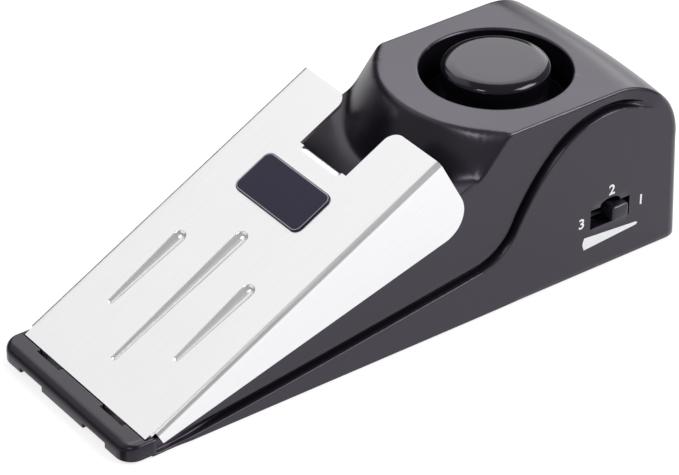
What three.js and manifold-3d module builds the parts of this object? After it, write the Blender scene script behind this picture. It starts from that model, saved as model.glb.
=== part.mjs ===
// Door stop alarm: a wedge-shaped black housing with a hinged steel pressure plate, a siren under the deck,
// a sensitivity slide switch and a power slide switch on its sides, and a 9 V block battery inside.
// Millimetres. X runs across, the nose points to -Y, Z is up and the rubber pads stand on Z = 0.
// Every height below starts at the underside of the housing, which the pads lift off the floor.
import * as THREE from 'three';
import { mergeVertices } from 'three/addons/utils/BufferGeometryUtils.js';
import Module from 'manifold-3d';

const wasm = await Module();
wasm.setup();

// Driving dimensions of the whole object.
const overallLength = 145.2;
const cheekWidth = 48;
const cheekProud = 1.2;
const deckHeight = 42;
const wall = 2;
const padProud = 0.4;

// Clearances: moving or nested pieces, flat seats, and the overrun of every cut.
const clearance = 0.3;
const seatGap = 0.12;
const overrun = 1;
const weldDistance = 0.0001;

// Nose, where the plate is hinged.
const noseDepth = 5.2;
const noseHeight = 3.75;
const noseInset = 0.2;
const noseCornerRadius = 3.8;
const noseEdgeRound = 1.3;
const noseEarLength = 2.1;

// Ramp under the plate, and the tower with its flared front and rounded rear.
const rampDegrees = 20.67;
const rampFrontHeight = 2.4;
const rampFrontSetback = 1.1;
const rampRunIn = 5.4;
const towerRadius = 29.05;
const towerCentreSetback = 30.05;
const towerFlareShare = 0.6;
const rearRound = 16.8;
const rearDraft = 1.1;
const rearBow = 1.6;
const rearBowSteps = 8;
const rearCornerRadius = 2;
const silhouetteMargin = 0.05;

// Steel pressure plate, measured along its own slope from its front edge.
const plateDegrees = 28.2;
const plateTravelDegrees = 6;
const plateLength = 82.1;
const plateInset = 0.2;
const plateThickness = 0.8;
const plateFoldRadius = 1.3;
const plateProudOfNose = 0.05;
const plateReliefWidth = 1.2;
const plateReliefLength = 2.3;
const plateNotchWidth = 16.1;
const plateNotchDepth = 13.9;
const prongRound = 3;
const skirtFrontDepth = 3.1;
const skirtRearDepth = 19.96;
const skirtCornerRadius = 6.5;

// Siren well in the deck.
const sirenSetback = 34.36;
const wellRadius = 16.35;
const wellDepth = 9;
const capRadius = 11.8;
const capHeight = 6.2;
const capProud = 2;

// Side slots for the two slide knobs.
const slotSetback = 21.3;
const slotLength = 10.75;
const slotHeight = 4.85;
const slotFloor = 10.62;
const knobLength = 4.45;
const knobHeight = 3.7;
const knobProud = 1.25;

// Nine volt block battery.
const batteryLength = 46.4;
const batteryWidth = 26.5;
const batteryHeight = 17.5;
const batteryRearSetback = 8.7;

// Number of sides of round pieces.
const finelyRound = 64;
const round = 28;
const roughlyRound = 14;
const cornerSteps = 5;
const rearRoundSteps = 10;

// Places that follow from the sizes above.
const frontY = -overallLength / 2;
const rearY = overallLength / 2;
const cheekX = cheekWidth / 2;
const bodyX = cheekX - cheekProud;
const innerX = bodyX - wall;
const noseX = cheekX - noseInset;
const plateX = cheekX - plateInset;
const noseRearY = frontY + noseDepth;
const rampFrontY = noseRearY + rampFrontSetback;
const rampSlope = Math.tan(THREE.MathUtils.degToRad(rampDegrees));
const rampThickness = wall / Math.cos(THREE.MathUtils.degToRad(rampDegrees));
const towerCentreY = rearY - towerCentreSetback;
const rearArcY = rearY - rearDraft - rearRound;
const rearArcZ = deckHeight - rearRound;
const rearInnerY = rearY - rearBow - rearDraft - wall;
const rearSideArcY = rearArcY - rearBow;
const sirenY = rearY - sirenSetback;
const wellFloorZ = deckHeight - wellDepth;
const plateFrontY = noseRearY + clearance;
const plateFrontZ = noseHeight + plateProudOfNose;
const plateAngle = THREE.MathUtils.degToRad(plateDegrees);
const plateTravel = THREE.MathUtils.degToRad(plateTravelDegrees);
const slotY = rearY - slotSetback;
const slotZ = slotFloor + slotHeight / 2;

/** Height of the ramp's outer face at a place along the object. */
function rampZ(y) {
  return rampFrontHeight + (y - rampFrontY) * rampSlope;
}

/** Turns, out of a plate-fixed frame, whatever is laid out along the plate's own slope. */
const plateFrame = new THREE.Matrix4().makeRotationX(plateAngle).setPosition(0, plateFrontY, plateFrontZ);

// Colours and surfaces.
const blackPlastic = { color: 0x2b292e, roughness: 0.42, metalness: 0 };
const basePlastic = { color: 0x232226, roughness: 0.55, metalness: 0 };
const steel = { color: 0xd9d8d6, roughness: 0.28, metalness: 1 };
const screwSteel = { color: 0x8d8d90, roughness: 0.35, metalness: 1 };
const brass = { color: 0xb08d46, roughness: 0.35, metalness: 1 };
const tinned = { color: 0xb9b9bd, roughness: 0.3, metalness: 1 };
const rubber = { color: 0x1a1a1b, roughness: 0.9, metalness: 0 };
const badgeBlack = { color: 0x262433, roughness: 0.35, metalness: 0 };
const boardGreen = { color: 0x2f6b3a, roughness: 0.5, metalness: 0 };
const ceramic = { color: 0xe4e0d2, roughness: 0.6, metalness: 0 };
const batteryJacket = { color: 0x3a3d44, roughness: 0.4, metalness: 0.3 };
const chipBlack = { color: 0x1d1d20, roughness: 0.6, metalness: 0 };
const redWire = { color: 0xa81f1f, roughness: 0.5, metalness: 0 };
const blackWire = { color: 0x161618, roughness: 0.5, metalness: 0 };
const greyFoam = { color: 0x55565a, roughness: 0.95, metalness: 0 };

// Every piece is hung in this group, which the pads lift to the floor.
const doorStopAlarm = new THREE.Group();
doorStopAlarm.position.z = padProud;

/** Signed volume of an indexed geometry, positive when its faces point outwards. */
function signedVolume(position, index) {
  const a = new THREE.Vector3();
  const b = new THREE.Vector3();
  const c = new THREE.Vector3();
  let volume = 0;
  for (let i = 0; i < index.length; i += 3) {
    a.fromBufferAttribute(position, index[i]);
    b.fromBufferAttribute(position, index[i + 1]);
    c.fromBufferAttribute(position, index[i + 2]);
    volume += a.dot(b.cross(c));
  }
  return volume;
}

/** Makes a closed three.js geometry a solid that can be joined and cut. */
function solid(geometry) {
  const bare = geometry.clone();
  bare.deleteAttribute('normal');
  bare.deleteAttribute('uv');
  const merged = mergeVertices(bare, weldDistance);
  const corners = merged.index.array;
  const kept = [];
  for (let i = 0; i < corners.length; i += 3) {
    const [a, b, c] = [corners[i], corners[i + 1], corners[i + 2]];
    if (a !== b && b !== c && c !== a) kept.push(a, b, c);
  }
  if (signedVolume(merged.attributes.position, kept) < 0) kept.reverse();
  const vertProperties = new Float32Array(merged.attributes.position.array);
  const triVerts = new Uint32Array(kept);
  return new wasm.Manifold(new wasm.Mesh({ numProp: 3, vertProperties, triVerts }));
}

/** Joins solids into one. */
function join(...solids) {
  return solids.reduce((whole, next) => whole.add(next));
}

/** Cuts each tool out of a solid. */
function cut(whole, ...tools) {
  return tools.reduce((rest, tool) => rest.subtract(tool), whole);
}

/** Hangs a finished solid in the object as a named mesh, turned out of its own frame where it has one. */
function place(name, shape, finish, frame) {
  const { vertProperties, triVerts } = shape.getMesh();
  const geometry = new THREE.BufferGeometry();
  geometry.setAttribute('position', new THREE.BufferAttribute(new Float32Array(vertProperties), 3));
  geometry.setIndex(new THREE.BufferAttribute(new Uint32Array(triVerts), 1));
  if (frame) geometry.applyMatrix4(frame);
  geometry.computeVertexNormals();
  const mesh = new THREE.Mesh(geometry, new THREE.MeshStandardMaterial(finish));
  mesh.name = name;
  doorStopAlarm.add(mesh);
}

/** A box between two corners. */
function box([x0, x1], [y0, y1], [z0, z1], frame) {
  const geometry = new THREE.BoxGeometry(Math.abs(x1 - x0), Math.abs(y1 - y0), Math.abs(z1 - z0));
  geometry.translate((x0 + x1) / 2, (y0 + y1) / 2, (z0 + z1) / 2);
  if (frame) geometry.applyMatrix4(frame);
  return solid(geometry);
}

/** A flat shape drawn in a plane and pushed out of it by a depth. */
function pushed(shape, depth, steps = cornerSteps) {
  return new THREE.ExtrudeGeometry(shape, { depth, bevelEnabled: false, curveSegments: steps });
}

/** Turns a drawing into a side elevation in Y and Z, pushed out along X. */
const sideways = new THREE.Matrix4().makeBasis(
  new THREE.Vector3(0, 1, 0),
  new THREE.Vector3(0, 0, 1),
  new THREE.Vector3(1, 0, 0),
);

/** A side elevation, drawn in Y and Z, pushed across from x0 to x1. */
function across(shape, x0, x1, frame) {
  const geometry = pushed(shape, x1 - x0);
  geometry.applyMatrix4(sideways);
  geometry.translate(x0, 0, 0);
  if (frame) geometry.applyMatrix4(frame);
  return solid(geometry);
}

/** A front elevation, drawn in X and Z, pushed along from y0 to y1. */
function along(shape, y0, y1, frame) {
  const geometry = pushed(shape, y1 - y0);
  const turn = new THREE.Matrix4().makeBasis(
    new THREE.Vector3(1, 0, 0),
    new THREE.Vector3(0, 0, 1),
    new THREE.Vector3(0, -1, 0),
  );
  geometry.applyMatrix4(turn);
  geometry.translate(0, y1, 0);
  if (frame) geometry.applyMatrix4(frame);
  return solid(geometry);
}

/** A plan, drawn in X and Y, pushed up from z0 to z1. */
function upward(shape, z0, z1, frame, steps) {
  const geometry = pushed(shape, z1 - z0, steps);
  geometry.translate(0, 0, z0);
  if (frame) geometry.applyMatrix4(frame);
  return solid(geometry);
}

/** A profile of radius and height turned about an upright axis at x, y. */
function turned(profile, x, y, sides = round, frame = null) {
  const points = profile.map(([radius, height]) => new THREE.Vector2(radius, height));
  const geometry = new THREE.LatheGeometry(points, sides);
  geometry.rotateX(Math.PI / 2);
  geometry.translate(x, y, 0);
  if (frame) geometry.applyMatrix4(frame);
  return solid(geometry);
}

/** An upright round bar, or a tapered one where the top radius differs. */
function bar(radius, x, y, z0, z1, sides = round, topRadius = radius, frame = null) {
  return turned([[0, z0], [radius, z0], [topRadius, z1], [0, z1]], x, y, sides, frame);
}

/** A polygon from a list of points. */
function polygon(points) {
  return new THREE.Shape(points.map(([a, b]) => new THREE.Vector2(a, b)));
}

/** A rectangle with round corners, from its centre and size. */
function roundedRectangle(centreA, centreB, width, height, radius) {
  const a0 = centreA - width / 2;
  const a1 = centreA + width / 2;
  const b0 = centreB - height / 2;
  const b1 = centreB + height / 2;
  const shape = new THREE.Shape();
  shape.moveTo(a0 + radius, b0);
  shape.lineTo(a1 - radius, b0);
  shape.absarc(a1 - radius, b0 + radius, radius, -Math.PI / 2, 0);
  shape.lineTo(a1, b1 - radius);
  shape.absarc(a1 - radius, b1 - radius, radius, 0, Math.PI / 2);
  shape.lineTo(a0 + radius, b1);
  shape.absarc(a0 + radius, b1 - radius, radius, Math.PI / 2, Math.PI);
  shape.lineTo(a0, b0 + radius);
  shape.absarc(a0 + radius, b0 + radius, radius, Math.PI, Math.PI * 1.5);
  return shape;
}

/** Runs a job once for each side of the object, with its sign along X. */
function bothSides(job) {
  return [-1, 1].map(job);
}

// Upper housing, outside.

/** Plan outline of the whole housing, tight round corners at the rear and larger ones at the nose. */
function planSilhouette() {
  const shape = new THREE.Shape();
  shape.moveTo(-noseX + noseCornerRadius, frontY);
  shape.lineTo(noseX - noseCornerRadius, frontY);
  shape.absarc(noseX - noseCornerRadius, frontY + noseCornerRadius, noseCornerRadius, -Math.PI / 2, 0);
  shape.lineTo(noseX, noseRearY + noseEarLength);
  shape.lineTo(cheekX, noseRearY + noseEarLength);
  const cornerX = cheekX - rearCornerRadius;
  const cornerY = rearY - rearBow * (cornerX / cheekX) ** 2 - rearCornerRadius + silhouetteMargin;
  shape.lineTo(cheekX, cornerY);
  shape.absarc(cornerX, cornerY, rearCornerRadius, 0, Math.PI / 2);
  for (let i = rearBowSteps - 1; i >= 1; i -= 1) {
    const x = cornerX * ((2 * i) / rearBowSteps - 1);
    shape.lineTo(x, rearY - rearBow * (x / cheekX) ** 2 + silhouetteMargin);
  }
  shape.absarc(-cornerX, cornerY, rearCornerRadius, Math.PI / 2, Math.PI);
  shape.lineTo(-cheekX, noseRearY + noseEarLength);
  shape.lineTo(-noseX, noseRearY + noseEarLength);
  shape.lineTo(-noseX, frontY + noseCornerRadius);
  shape.absarc(-noseX + noseCornerRadius, frontY + noseCornerRadius, noseCornerRadius, Math.PI, Math.PI * 1.5);
  return shape;
}

/** Leans a prism's rear, so that it follows the draft of the rear wall. */
function leaned(geometry) {
  const position = geometry.attributes.position;
  for (let i = 0; i < position.count; i += 1) {
    const y = position.getY(i);
    const lean = (rearDraft * position.getZ(i)) / rearArcZ;
    if (y > towerCentreY) position.setY(i, y - lean);
  }
  return geometry;
}

/** Bows a block's rear, which is furthest back in the middle of the width. */
function bowed(geometry) {
  const position = geometry.attributes.position;
  for (let i = 0; i < position.count; i += 1) {
    const y = position.getY(i);
    const share = THREE.MathUtils.clamp((y - towerCentreY) / (rearArcY - towerCentreY), 0, 1);
    position.setY(i, y - rearBow * share * (position.getX(i) / cheekX) ** 2);
  }
  return geometry;
}

/** Front elevation of the nose bar, with its rounded side edges. */
function noseFrontElevation() {
  const shape = new THREE.Shape();
  shape.moveTo(-noseX, 0);
  shape.lineTo(noseX, 0);
  shape.lineTo(noseX, noseHeight - noseEdgeRound);
  shape.absarc(noseX - noseEdgeRound, noseHeight - noseEdgeRound, noseEdgeRound, 0, Math.PI / 2);
  shape.lineTo(-noseX + noseEdgeRound, noseHeight);
  shape.absarc(-noseX + noseEdgeRound, noseHeight - noseEdgeRound, noseEdgeRound, Math.PI / 2, Math.PI);
  return shape;
}

/** Side elevation of the nose bar, with its rounded front edge. */
function noseElevation() {
  const shape = new THREE.Shape();
  shape.moveTo(frontY, 0);
  shape.lineTo(noseRearY + noseEarLength, 0);
  shape.lineTo(noseRearY + noseEarLength, noseHeight);
  shape.lineTo(frontY + noseEdgeRound, noseHeight);
  shape.absarc(frontY + noseEdgeRound, noseHeight - noseEdgeRound, noseEdgeRound, Math.PI / 2, Math.PI);
  return shape;
}

/** Side elevation of the tower block: drafted rear wall, round rear top, flat deck. */
function towerElevation(inset) {
  const towerRootY = towerCentreY - towerRadius - towerFlareShare * deckHeight;
  const shape = new THREE.Shape();
  shape.moveTo(towerRootY, inset > 0 ? -overrun : 0);
  shape.lineTo(rearY - inset, inset > 0 ? -overrun : 0);
  shape.lineTo(rearY - rearDraft - inset, rearArcZ);
  shape.absarc(rearArcY, rearArcZ, rearRound - inset, 0, Math.PI / 2);
  shape.lineTo(towerRootY, deckHeight - inset);
  return shape;
}

/** A side elevation pushed across in short steps and bowed at the rear. */
function bowedBlock(shape, halfWidth) {
  const geometry = new THREE.ExtrudeGeometry(shape, {
    depth: halfWidth * 2,
    steps: rearBowSteps,
    bevelEnabled: false,
    curveSegments: rearRoundSteps,
  });
  geometry.applyMatrix4(sideways);
  geometry.translate(-halfWidth, 0, 0);
  return solid(bowed(geometry));
}

/** The flared round front of the tower, with a plain block behind its centre. */
function towerFront(inset) {
  const slantInset = inset * Math.hypot(1, towerFlareShare);
  const topRadius = towerRadius - slantInset;
  const footRadius = topRadius + towerFlareShare * (deckHeight + overrun);
  const front = bar(footRadius, 0, towerCentreY, -overrun, deckHeight, finelyRound, topRadius);
  const behind = box([-cheekX, cheekX], [towerCentreY, rearY + overrun], [-overrun, deckHeight]);
  return join(front, behind);
}

// The top line of a cheek, as shares of the length from the nose tip and of the deck height. It leaves the
// floor behind the nose, climbs gently, bends up beside the tower and arches over to the rear.
const cheekStartShares = [0.0552, 0.008];
const cheekBendShares = [0.6081, 0.262];
const cheekBendPullShares = [0.6539, 0.289];
const cheekFootShares = [0.677, 0.419];
const cheekRisePullShares = [0.7059, 0.6095];
const cheekCrownPullShares = [0.7575, 0.9167];
const cheekCrownShares = [0.8498, 0.9167];
const cheekFallPullShares = [0.8953, 0.9167];
const cheekLowPullShares = [0.128, 0.014];
const cheekEndDegrees = 23.6;
const cheekLineSteps = 9;

/** A point given by its shares of the overall length and of the deck height. */
function atShares([lengthShare, heightShare]) {
  return new THREE.Vector2(frontY + lengthShare * overallLength, heightShare * deckHeight);
}

/** Points of the cheek's top line from the nose to where it meets the round rear. */
function cheekLine() {
  const endAngle = THREE.MathUtils.degToRad(cheekEndDegrees);
  const end = new THREE.Vector2(
    rearSideArcY + rearRound * Math.cos(endAngle),
    rearArcZ + rearRound * Math.sin(endAngle),
  );
  const path = new THREE.CurvePath();
  const start = atShares(cheekStartShares);
  const bend = atShares(cheekBendShares);
  const foot = atShares(cheekFootShares);
  const crown = atShares(cheekCrownShares);
  path.add(new THREE.QuadraticBezierCurve(start, atShares(cheekLowPullShares), bend));
  path.add(new THREE.QuadraticBezierCurve(bend, atShares(cheekBendPullShares), foot));
  path.add(new THREE.CubicBezierCurve(
    foot,
    atShares(cheekRisePullShares),
    atShares(cheekCrownPullShares),
    crown,
  ));
  path.add(new THREE.QuadraticBezierCurve(crown, atShares(cheekFallPullShares), end));
  return path.getPoints(cheekLineSteps);
}

/** Side elevation of a cheek: below its top line, and out to the rear wall. */
function cheekElevation() {
  const line = cheekLine();
  const last = line[line.length - 1];
  const endAngle = Math.atan2(last.y - rearArcZ, last.x - rearSideArcY);
  const shape = new THREE.Shape();
  shape.moveTo(line[0].x, 0);
  line.forEach((point) => shape.lineTo(point.x, point.y));
  shape.absarc(rearSideArcY, rearArcZ, rearRound, endAngle, 0, true);
  shape.lineTo(rearY - rearBow, 0);
  return shape;
}

// Groove that follows the cheek's top line, fading out at both ends.
const grooveWidth = 1.3;
const grooveDepth = 0.9;
const grooveFadeShare = 0.12;

/** Side elevation of the groove: a band that leans on the cheek's top line. */
function grooveElevation() {
  const line = cheekLine();
  const upper = line.map((point, i) => {
    const before = line[Math.max(i - 1, 0)];
    const after = line[Math.min(i + 1, line.length - 1)];
    const run = new THREE.Vector2().subVectors(after, before).normalize();
    const share = i / (line.length - 1);
    const fade = Math.min(1, share / grooveFadeShare, (1 - share) / grooveFadeShare);
    return new THREE.Vector2(point.x - run.y * grooveWidth * fade, point.y + run.x * grooveWidth * fade);
  });
  return new THREE.Shape([...line, ...upper.slice(1, -1).reverse()]);
}

/** The housing's outer form before it is hollowed. */
function housingOutside() {
  const nose = across(noseElevation(), -noseX, noseX)
    .intersect(along(noseFrontElevation(), frontY - overrun, noseRearY + noseEarLength + overrun));
  const rampEndY = towerCentreY - towerRadius + rampRunIn;
  const ramp = across(polygon([
    [noseRearY - wall, 0],
    [rampEndY, 0],
    [rampEndY, rampZ(rampEndY)],
    [rampFrontY, rampFrontHeight],
    [noseRearY - wall, rampFrontHeight],
  ]), -bodyX, bodyX);
  const plateBed = box(
    [-bodyX - clearance, bodyX + clearance],
    [noseRearY, noseRearY + noseEarLength + overrun],
    [rampFrontHeight, noseHeight + overrun],
  );
  const tower = bowedBlock(towerElevation(0), bodyX).intersect(towerFront(0));
  const cheeks = bothSides((side) => {
    const x0 = side * (bodyX - wall / 2);
    const x1 = side * cheekX;
    return across(cheekElevation(), Math.min(x0, x1), Math.max(x0, x1));
  });
  const grooves = bothSides((side) => {
    const x0 = side * (bodyX - grooveDepth);
    const x1 = side * (bodyX + overrun);
    return across(grooveElevation(), Math.min(x0, x1), Math.max(x0, x1));
  });
  const block = join(cut(nose, plateBed), ramp, tower);
  const prism = pushed(planSilhouette(), deckHeight + overrun * 2);
  prism.translate(0, 0, -overrun);
  const silhouette = solid(leaned(prism));
  const grooved = cut(join(block, ...cheeks), ...grooves);
  return grooved.intersect(silhouette);
}

// Base cover and the hollow above it.
const baseThickness = 2;
const baseFrontSetback = 11.5;
const baseFrontY = frontY + baseFrontSetback;
const baseX = innerX - clearance;
const baseRearY = rearInnerY - clearance;

/** The hollow of the housing: a bed for the base cover, the room under the ramp and the room in the tower. */
function housingHollow() {
  const bed = box(
    [-innerX, innerX],
    [baseFrontY - clearance, rearInnerY],
    [-overrun, baseThickness + clearance],
  );
  const rampEndY = towerCentreY;
  const ceilingAt = (y) => rampZ(y) - rampThickness;
  const cavityFrontY = baseFrontY + wall;
  const underRamp = across(polygon([
    [cavityFrontY, -overrun],
    [rampEndY, -overrun],
    [rampEndY, Math.min(ceilingAt(rampEndY), deckHeight - wall)],
    [cavityFrontY, ceilingAt(cavityFrontY)],
  ]), -innerX, innerX);
  const outerRamp = across(polygon([
    [cavityFrontY, -overrun],
    [towerCentreY - towerRadius, -overrun],
    [towerCentreY - towerRadius, ceilingAt(towerCentreY - towerRadius)],
    [cavityFrontY, ceilingAt(cavityFrontY)],
  ]), -innerX, innerX);
  const inTower = bowedBlock(towerElevation(wall), innerX).intersect(towerFront(wall));
  const underDeck = underRamp.intersect(join(outerRamp, inTower));
  return join(bed, underDeck, inTower);
}

// Hinge tongues of the plate and their pockets in the nose.
const tongueSpacing = 23.6;
const tongueWidth = 7.6;
const tongueReach = 1.6;
const tongueFoot = 1.4;
const tonguePocketMargin = 0.4;
const lipNotchHeight = 1.2;
const noseSlotSetback = 0.9;

/** Pockets, top slots and front lip notches that the plate's two tongues hook into. */
function hingePockets() {
  return bothSides((side) => {
    const x = side * tongueSpacing / 2;
    const halfWidth = tongueWidth / 2 + tonguePocketMargin;
    const spanX = [x - halfWidth, x + halfWidth];
    const tongueY = plateFrontY - clearance * 2;
    const pocket = box(
      spanX,
      [tongueY - tongueReach - tonguePocketMargin, tongueY + plateThickness + tonguePocketMargin],
      [-overrun, tongueFoot + plateThickness + tonguePocketMargin],
    );
    const slot = box(spanX, [noseRearY - noseSlotSetback, noseRearY + overrun], [0, noseHeight + overrun]);
    const notch = box(spanX, [frontY - overrun, tongueY - tongueReach], [-overrun, lipNotchHeight]);
    return join(pocket, slot, notch);
  });
}

// Thumb relief over the middle of each side opening.
const thumbReliefWidth = 5.6;
const thumbReliefHeight = 1.5;

/** Side openings for the two knobs, each with its thumb relief. */
function knobSlots() {
  return bothSides((side) => {
    const x0 = side * (innerX - overrun);
    const x1 = side * (cheekX + overrun);
    const shape = new THREE.Shape();
    const z0 = slotFloor;
    const z1 = slotFloor + slotHeight;
    shape.moveTo(slotY - slotLength / 2, z0);
    shape.lineTo(slotY + slotLength / 2, z0);
    shape.lineTo(slotY + slotLength / 2, z1);
    shape.lineTo(slotY + thumbReliefWidth / 2, z1);
    shape.absellipse(slotY, z1, thumbReliefWidth / 2, thumbReliefHeight, 0, Math.PI);
    shape.lineTo(slotY - slotLength / 2, z1);
    return across(shape, Math.min(x0, x1), Math.max(x0, x1));
  });
}

// Plate spring, its cup in the ramp, and the trigger plunger. Both stand square to the plate at half travel.
const springTilt = plateAngle - plateTravel / 2;
const springSetback = 57;
const springRadius = 4.2;
const springWire = 0.7;
const springTurns = 6;
const springCupDepth = 5;
const springCupRadius = springRadius + springWire;
const springSeatMargin = 0.4;
const plungerSetback = 36;
const plungerX = 6.2;
const plungerRadius = 1.9;
const plungerCollarRadius = 3.4;
const plungerCollarThickness = 1;
const plungerFootLength = 1;
const plungerFootRadius = 1.3;

/** A frame on the ramp's outer face whose Z axis is the line of the spring or of the plunger. */
function rampFrame(x, setback) {
  const y = frontY + setback;
  return new THREE.Matrix4().makeRotationX(springTilt).setPosition(x, y, rampZ(y));
}

/** Distance from the ramp to the plate's underside along the line of the spring, at rest. */
function restGap(setback) {
  const y = frontY + setback - plateFrontY;
  const z = rampZ(frontY + setback) - plateFrontZ;
  const depth = y * Math.sin(plateAngle) - z * Math.cos(plateAngle);
  return (depth - plateThickness) / Math.cos(plateAngle - springTilt);
}
const springFrame = rampFrame(0, springSetback);
const plungerFrame = rampFrame(plungerX, plungerSetback);

// The leg that is folded down out of the plate's notch, and its slot in the ramp.
const legWidth = 12;
const legHookReach = 1.8;
const legSlotLength = 4.2;
const legStart = plateLength - plateNotchDepth;

/** Depth of the ramp's outer face below the plate's top face, at a place along the plate. */
function rampDepthAt(reach) {
  const frontReach = (rampFrontY - plateFrontY) * Math.cos(plateAngle)
    + (rampFrontHeight - plateFrontZ) * Math.sin(plateAngle);
  const frontDepth = (rampFrontY - plateFrontY) * Math.sin(plateAngle)
    - (rampFrontHeight - plateFrontZ) * Math.cos(plateAngle);
  const between = Math.tan(plateAngle - THREE.MathUtils.degToRad(rampDegrees));
  return frontDepth + (reach - frontReach) * between;
}

/** The slot in the ramp that the leg dips through. */
function legSlot() {
  const depth = rampDepthAt(legStart);
  const start = new THREE.Vector3(0, legStart, -depth).applyMatrix4(plateFrame);
  const y = start.y - clearance;
  const frame = new THREE.Matrix4()
    .makeRotationX(THREE.MathUtils.degToRad(rampDegrees))
    .setPosition(0, y, rampZ(y));
  const halfWidth = legWidth / 2 + clearance * 2;
  return box(
    [-halfWidth, halfWidth],
    [-legSlotLength / 2, legSlotLength / 2],
    [-wall - overrun, overrun],
    frame,
  );
}

// Siren: ring seat under the well, piezo discs, retainer and its screws.
const portRadius = 7;
const seatRingInner = 12.2;
const seatRingOuter = 14.2;
const seatRingHeight = 3;
const piezoRadius = 13.5;
const piezoThickness = 0.3;
const ceramicRadius = 10;
const ceramicThickness = 0.25;
const retainerInner = 11.6;
const retainerOuter = 14.6;
const retainerThickness = 2;
const retainerEarX = 16.4;
const retainerEarRadius = 2.1;
const smallScrewRadius = 0.9;
const smallScrewHeadRadius = 1.7;
const smallScrewHeadHeight = 0.8;
const legPinRadius = 0.9;
const legPinPlace = 9.6;
const wellUnderZ = wellFloorZ - wall;
const seatRingZ = wellUnderZ - seatRingHeight;
const piezoTopZ = seatRingZ - clearance;
const ceramicTopZ = piezoTopZ - piezoThickness - seatGap;
const retainerTopZ = piezoTopZ - piezoThickness - clearance;

/** The well's tube, floor, piezo seat ring and retainer bosses, before its bore is cut. */
function wellSolid() {
  const tube = bar(wellRadius + wall, 0, sirenY, wellUnderZ, deckHeight - wall / 2, finelyRound);
  const ring = turned([
    [seatRingInner, seatRingZ],
    [seatRingOuter, seatRingZ],
    [seatRingOuter, wellUnderZ + wall / 2],
    [seatRingInner, wellUnderZ + wall / 2],
    [seatRingInner, seatRingZ],
  ], 0, sirenY);
  const bossFoot = retainerTopZ + clearance;
  const bosses = bothSides((side) => (
    bar(retainerEarRadius, side * retainerEarX, sirenY, bossFoot, wellUnderZ + wall / 2, roughlyRound)
  ));
  return join(tube, ring, ...bosses);
}

/** The well's bore, sound port, pin holes and boss holes. */
function wellBores() {
  const bore = bar(wellRadius, 0, sirenY, wellFloorZ, deckHeight + overrun, finelyRound);
  const port = bar(portRadius, 0, sirenY, wellUnderZ - overrun, wellFloorZ + overrun);
  const pins = capPinPlaces().map(([x, y]) => (
    bar(legPinRadius + clearance, x, y, wellUnderZ - overrun, wellFloorZ + overrun, roughlyRound)
  ));
  const bossHoles = bothSides((side) => (
    bar(
      smallScrewRadius + clearance,
      side * retainerEarX,
      sirenY,
      retainerTopZ,
      wellUnderZ + clearance,
      roughlyRound,
    )
  ));
  return [bore, port, ...pins, ...bossHoles];
}

/** Places of the siren cap's three pins. */
function capPinPlaces() {
  return [0, 1, 2].map((i) => {
    const angle = Math.PI / 2 + (i * Math.PI * 2) / 3;
    return [legPinPlace * Math.cos(angle), sirenY + legPinPlace * Math.sin(angle)];
  });
}

// Screws that hold the base cover, and their bosses in the housing.
const screwRadius = 1.15;
const screwHeadRadius = 2.1;
const screwHeadHeight = 1;
const screwLength = 6;
const bossRadius = 2.5;
const bossInset = 3.1;
const bossX = innerX - bossInset;
const frontScrewSetback = 29.5;
const rearScrewSetback = 12;
const crossSlotWidth = 0.6;
const crossSlotDepth = 0.45;
const crossSlotShare = 0.7;
const screwPlaces = [
  ['front_left', -bossX, frontY + frontScrewSetback],
  ['front_right', bossX, frontY + frontScrewSetback],
  ['rear_left', -bossX, rearY - rearScrewSetback],
  ['rear_right', bossX, rearY - rearScrewSetback],
];

/** Screw bosses that reach down from the housing's ceiling to the base cover. */
function screwBosses() {
  return screwPlaces.map(([, x, y]) => {
    const reach = y < 0 ? rampZ(y) - wall / 2 : rearArcZ;
    const post = bar(bossRadius, x, y, baseThickness + clearance, reach, roughlyRound);
    const side = Math.sign(x);
    const web = [side * Math.abs(x), side * (innerX + wall / 2)];
    const rib = box(
      [Math.min(...web), Math.max(...web)],
      [y - wall / 2, y + wall / 2],
      [baseThickness + clearance, reach],
    );
    return join(post, rib);
  });
}

/** Holes in the bosses for the base cover's screws. */
function bossHoles() {
  return screwPlaces.map(([, x, y]) => (
    bar(screwRadius + clearance, x, y, -overrun, baseThickness + screwLength, roughlyRound)
  ));
}

// Slide switches behind the side slots, and the rails that hold them.
const switchLength = 12.4;
const switchHeight = 4;
const switchDepth = 4.2;
const railThickness = 1.2;
const switchZ = slotZ - slotHeight / 2 + switchHeight / 2 + clearance;
const switchOuterX = innerX - clearance;

/** Rails over and under each slide switch. */
function switchRails() {
  return bothSides((side) => {
    const span = [side * (switchOuterX - switchDepth + wall), side * (innerX + wall / 2)];
    const spanX = [Math.min(...span), Math.max(...span)];
    const spanY = [slotY - switchLength / 2, slotY + switchLength / 2];
    const lowTop = switchZ - switchHeight / 2 - clearance;
    const highFoot = switchZ + switchHeight / 2 + clearance;
    const low = box(spanX, spanY, [lowTop - railThickness, lowTop]);
    const high = box(spanX, spanY, [highFoot, highFoot + railThickness]);
    return join(low, high);
  });
}

/** The black upper housing: nose, ramp, tower, cheeks, well and everything moulded inside. */
function upperHousing() {
  const outside = housingOutside();
  const shell = cut(outside, housingHollow());
  const inside = join(wellSolid(), ...screwBosses(), ...switchRails(), springCup(), plungerGuide());
  const keptInside = inside.intersect(outside);
  return cut(
    join(shell, keptInside),
    ...hingePockets(),
    ...knobSlots(),
    ...wellBores(),
    ...bossHoles(),
    legSlot(),
    springCupBore(),
    plungerBore(),
  );
}

/** The round cup under the ramp that the plate spring stands in. */
function springCup() {
  const radius = springCupRadius + wall / 2;
  return bar(radius, 0, 0, -springCupDepth - wall / 2, -wall / 2, round, radius, springFrame);
}

/** The bore of the spring cup. */
function springCupBore() {
  return bar(springCupRadius, 0, 0, -springCupDepth, springCupDepth, round, springCupRadius, springFrame);
}

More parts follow.
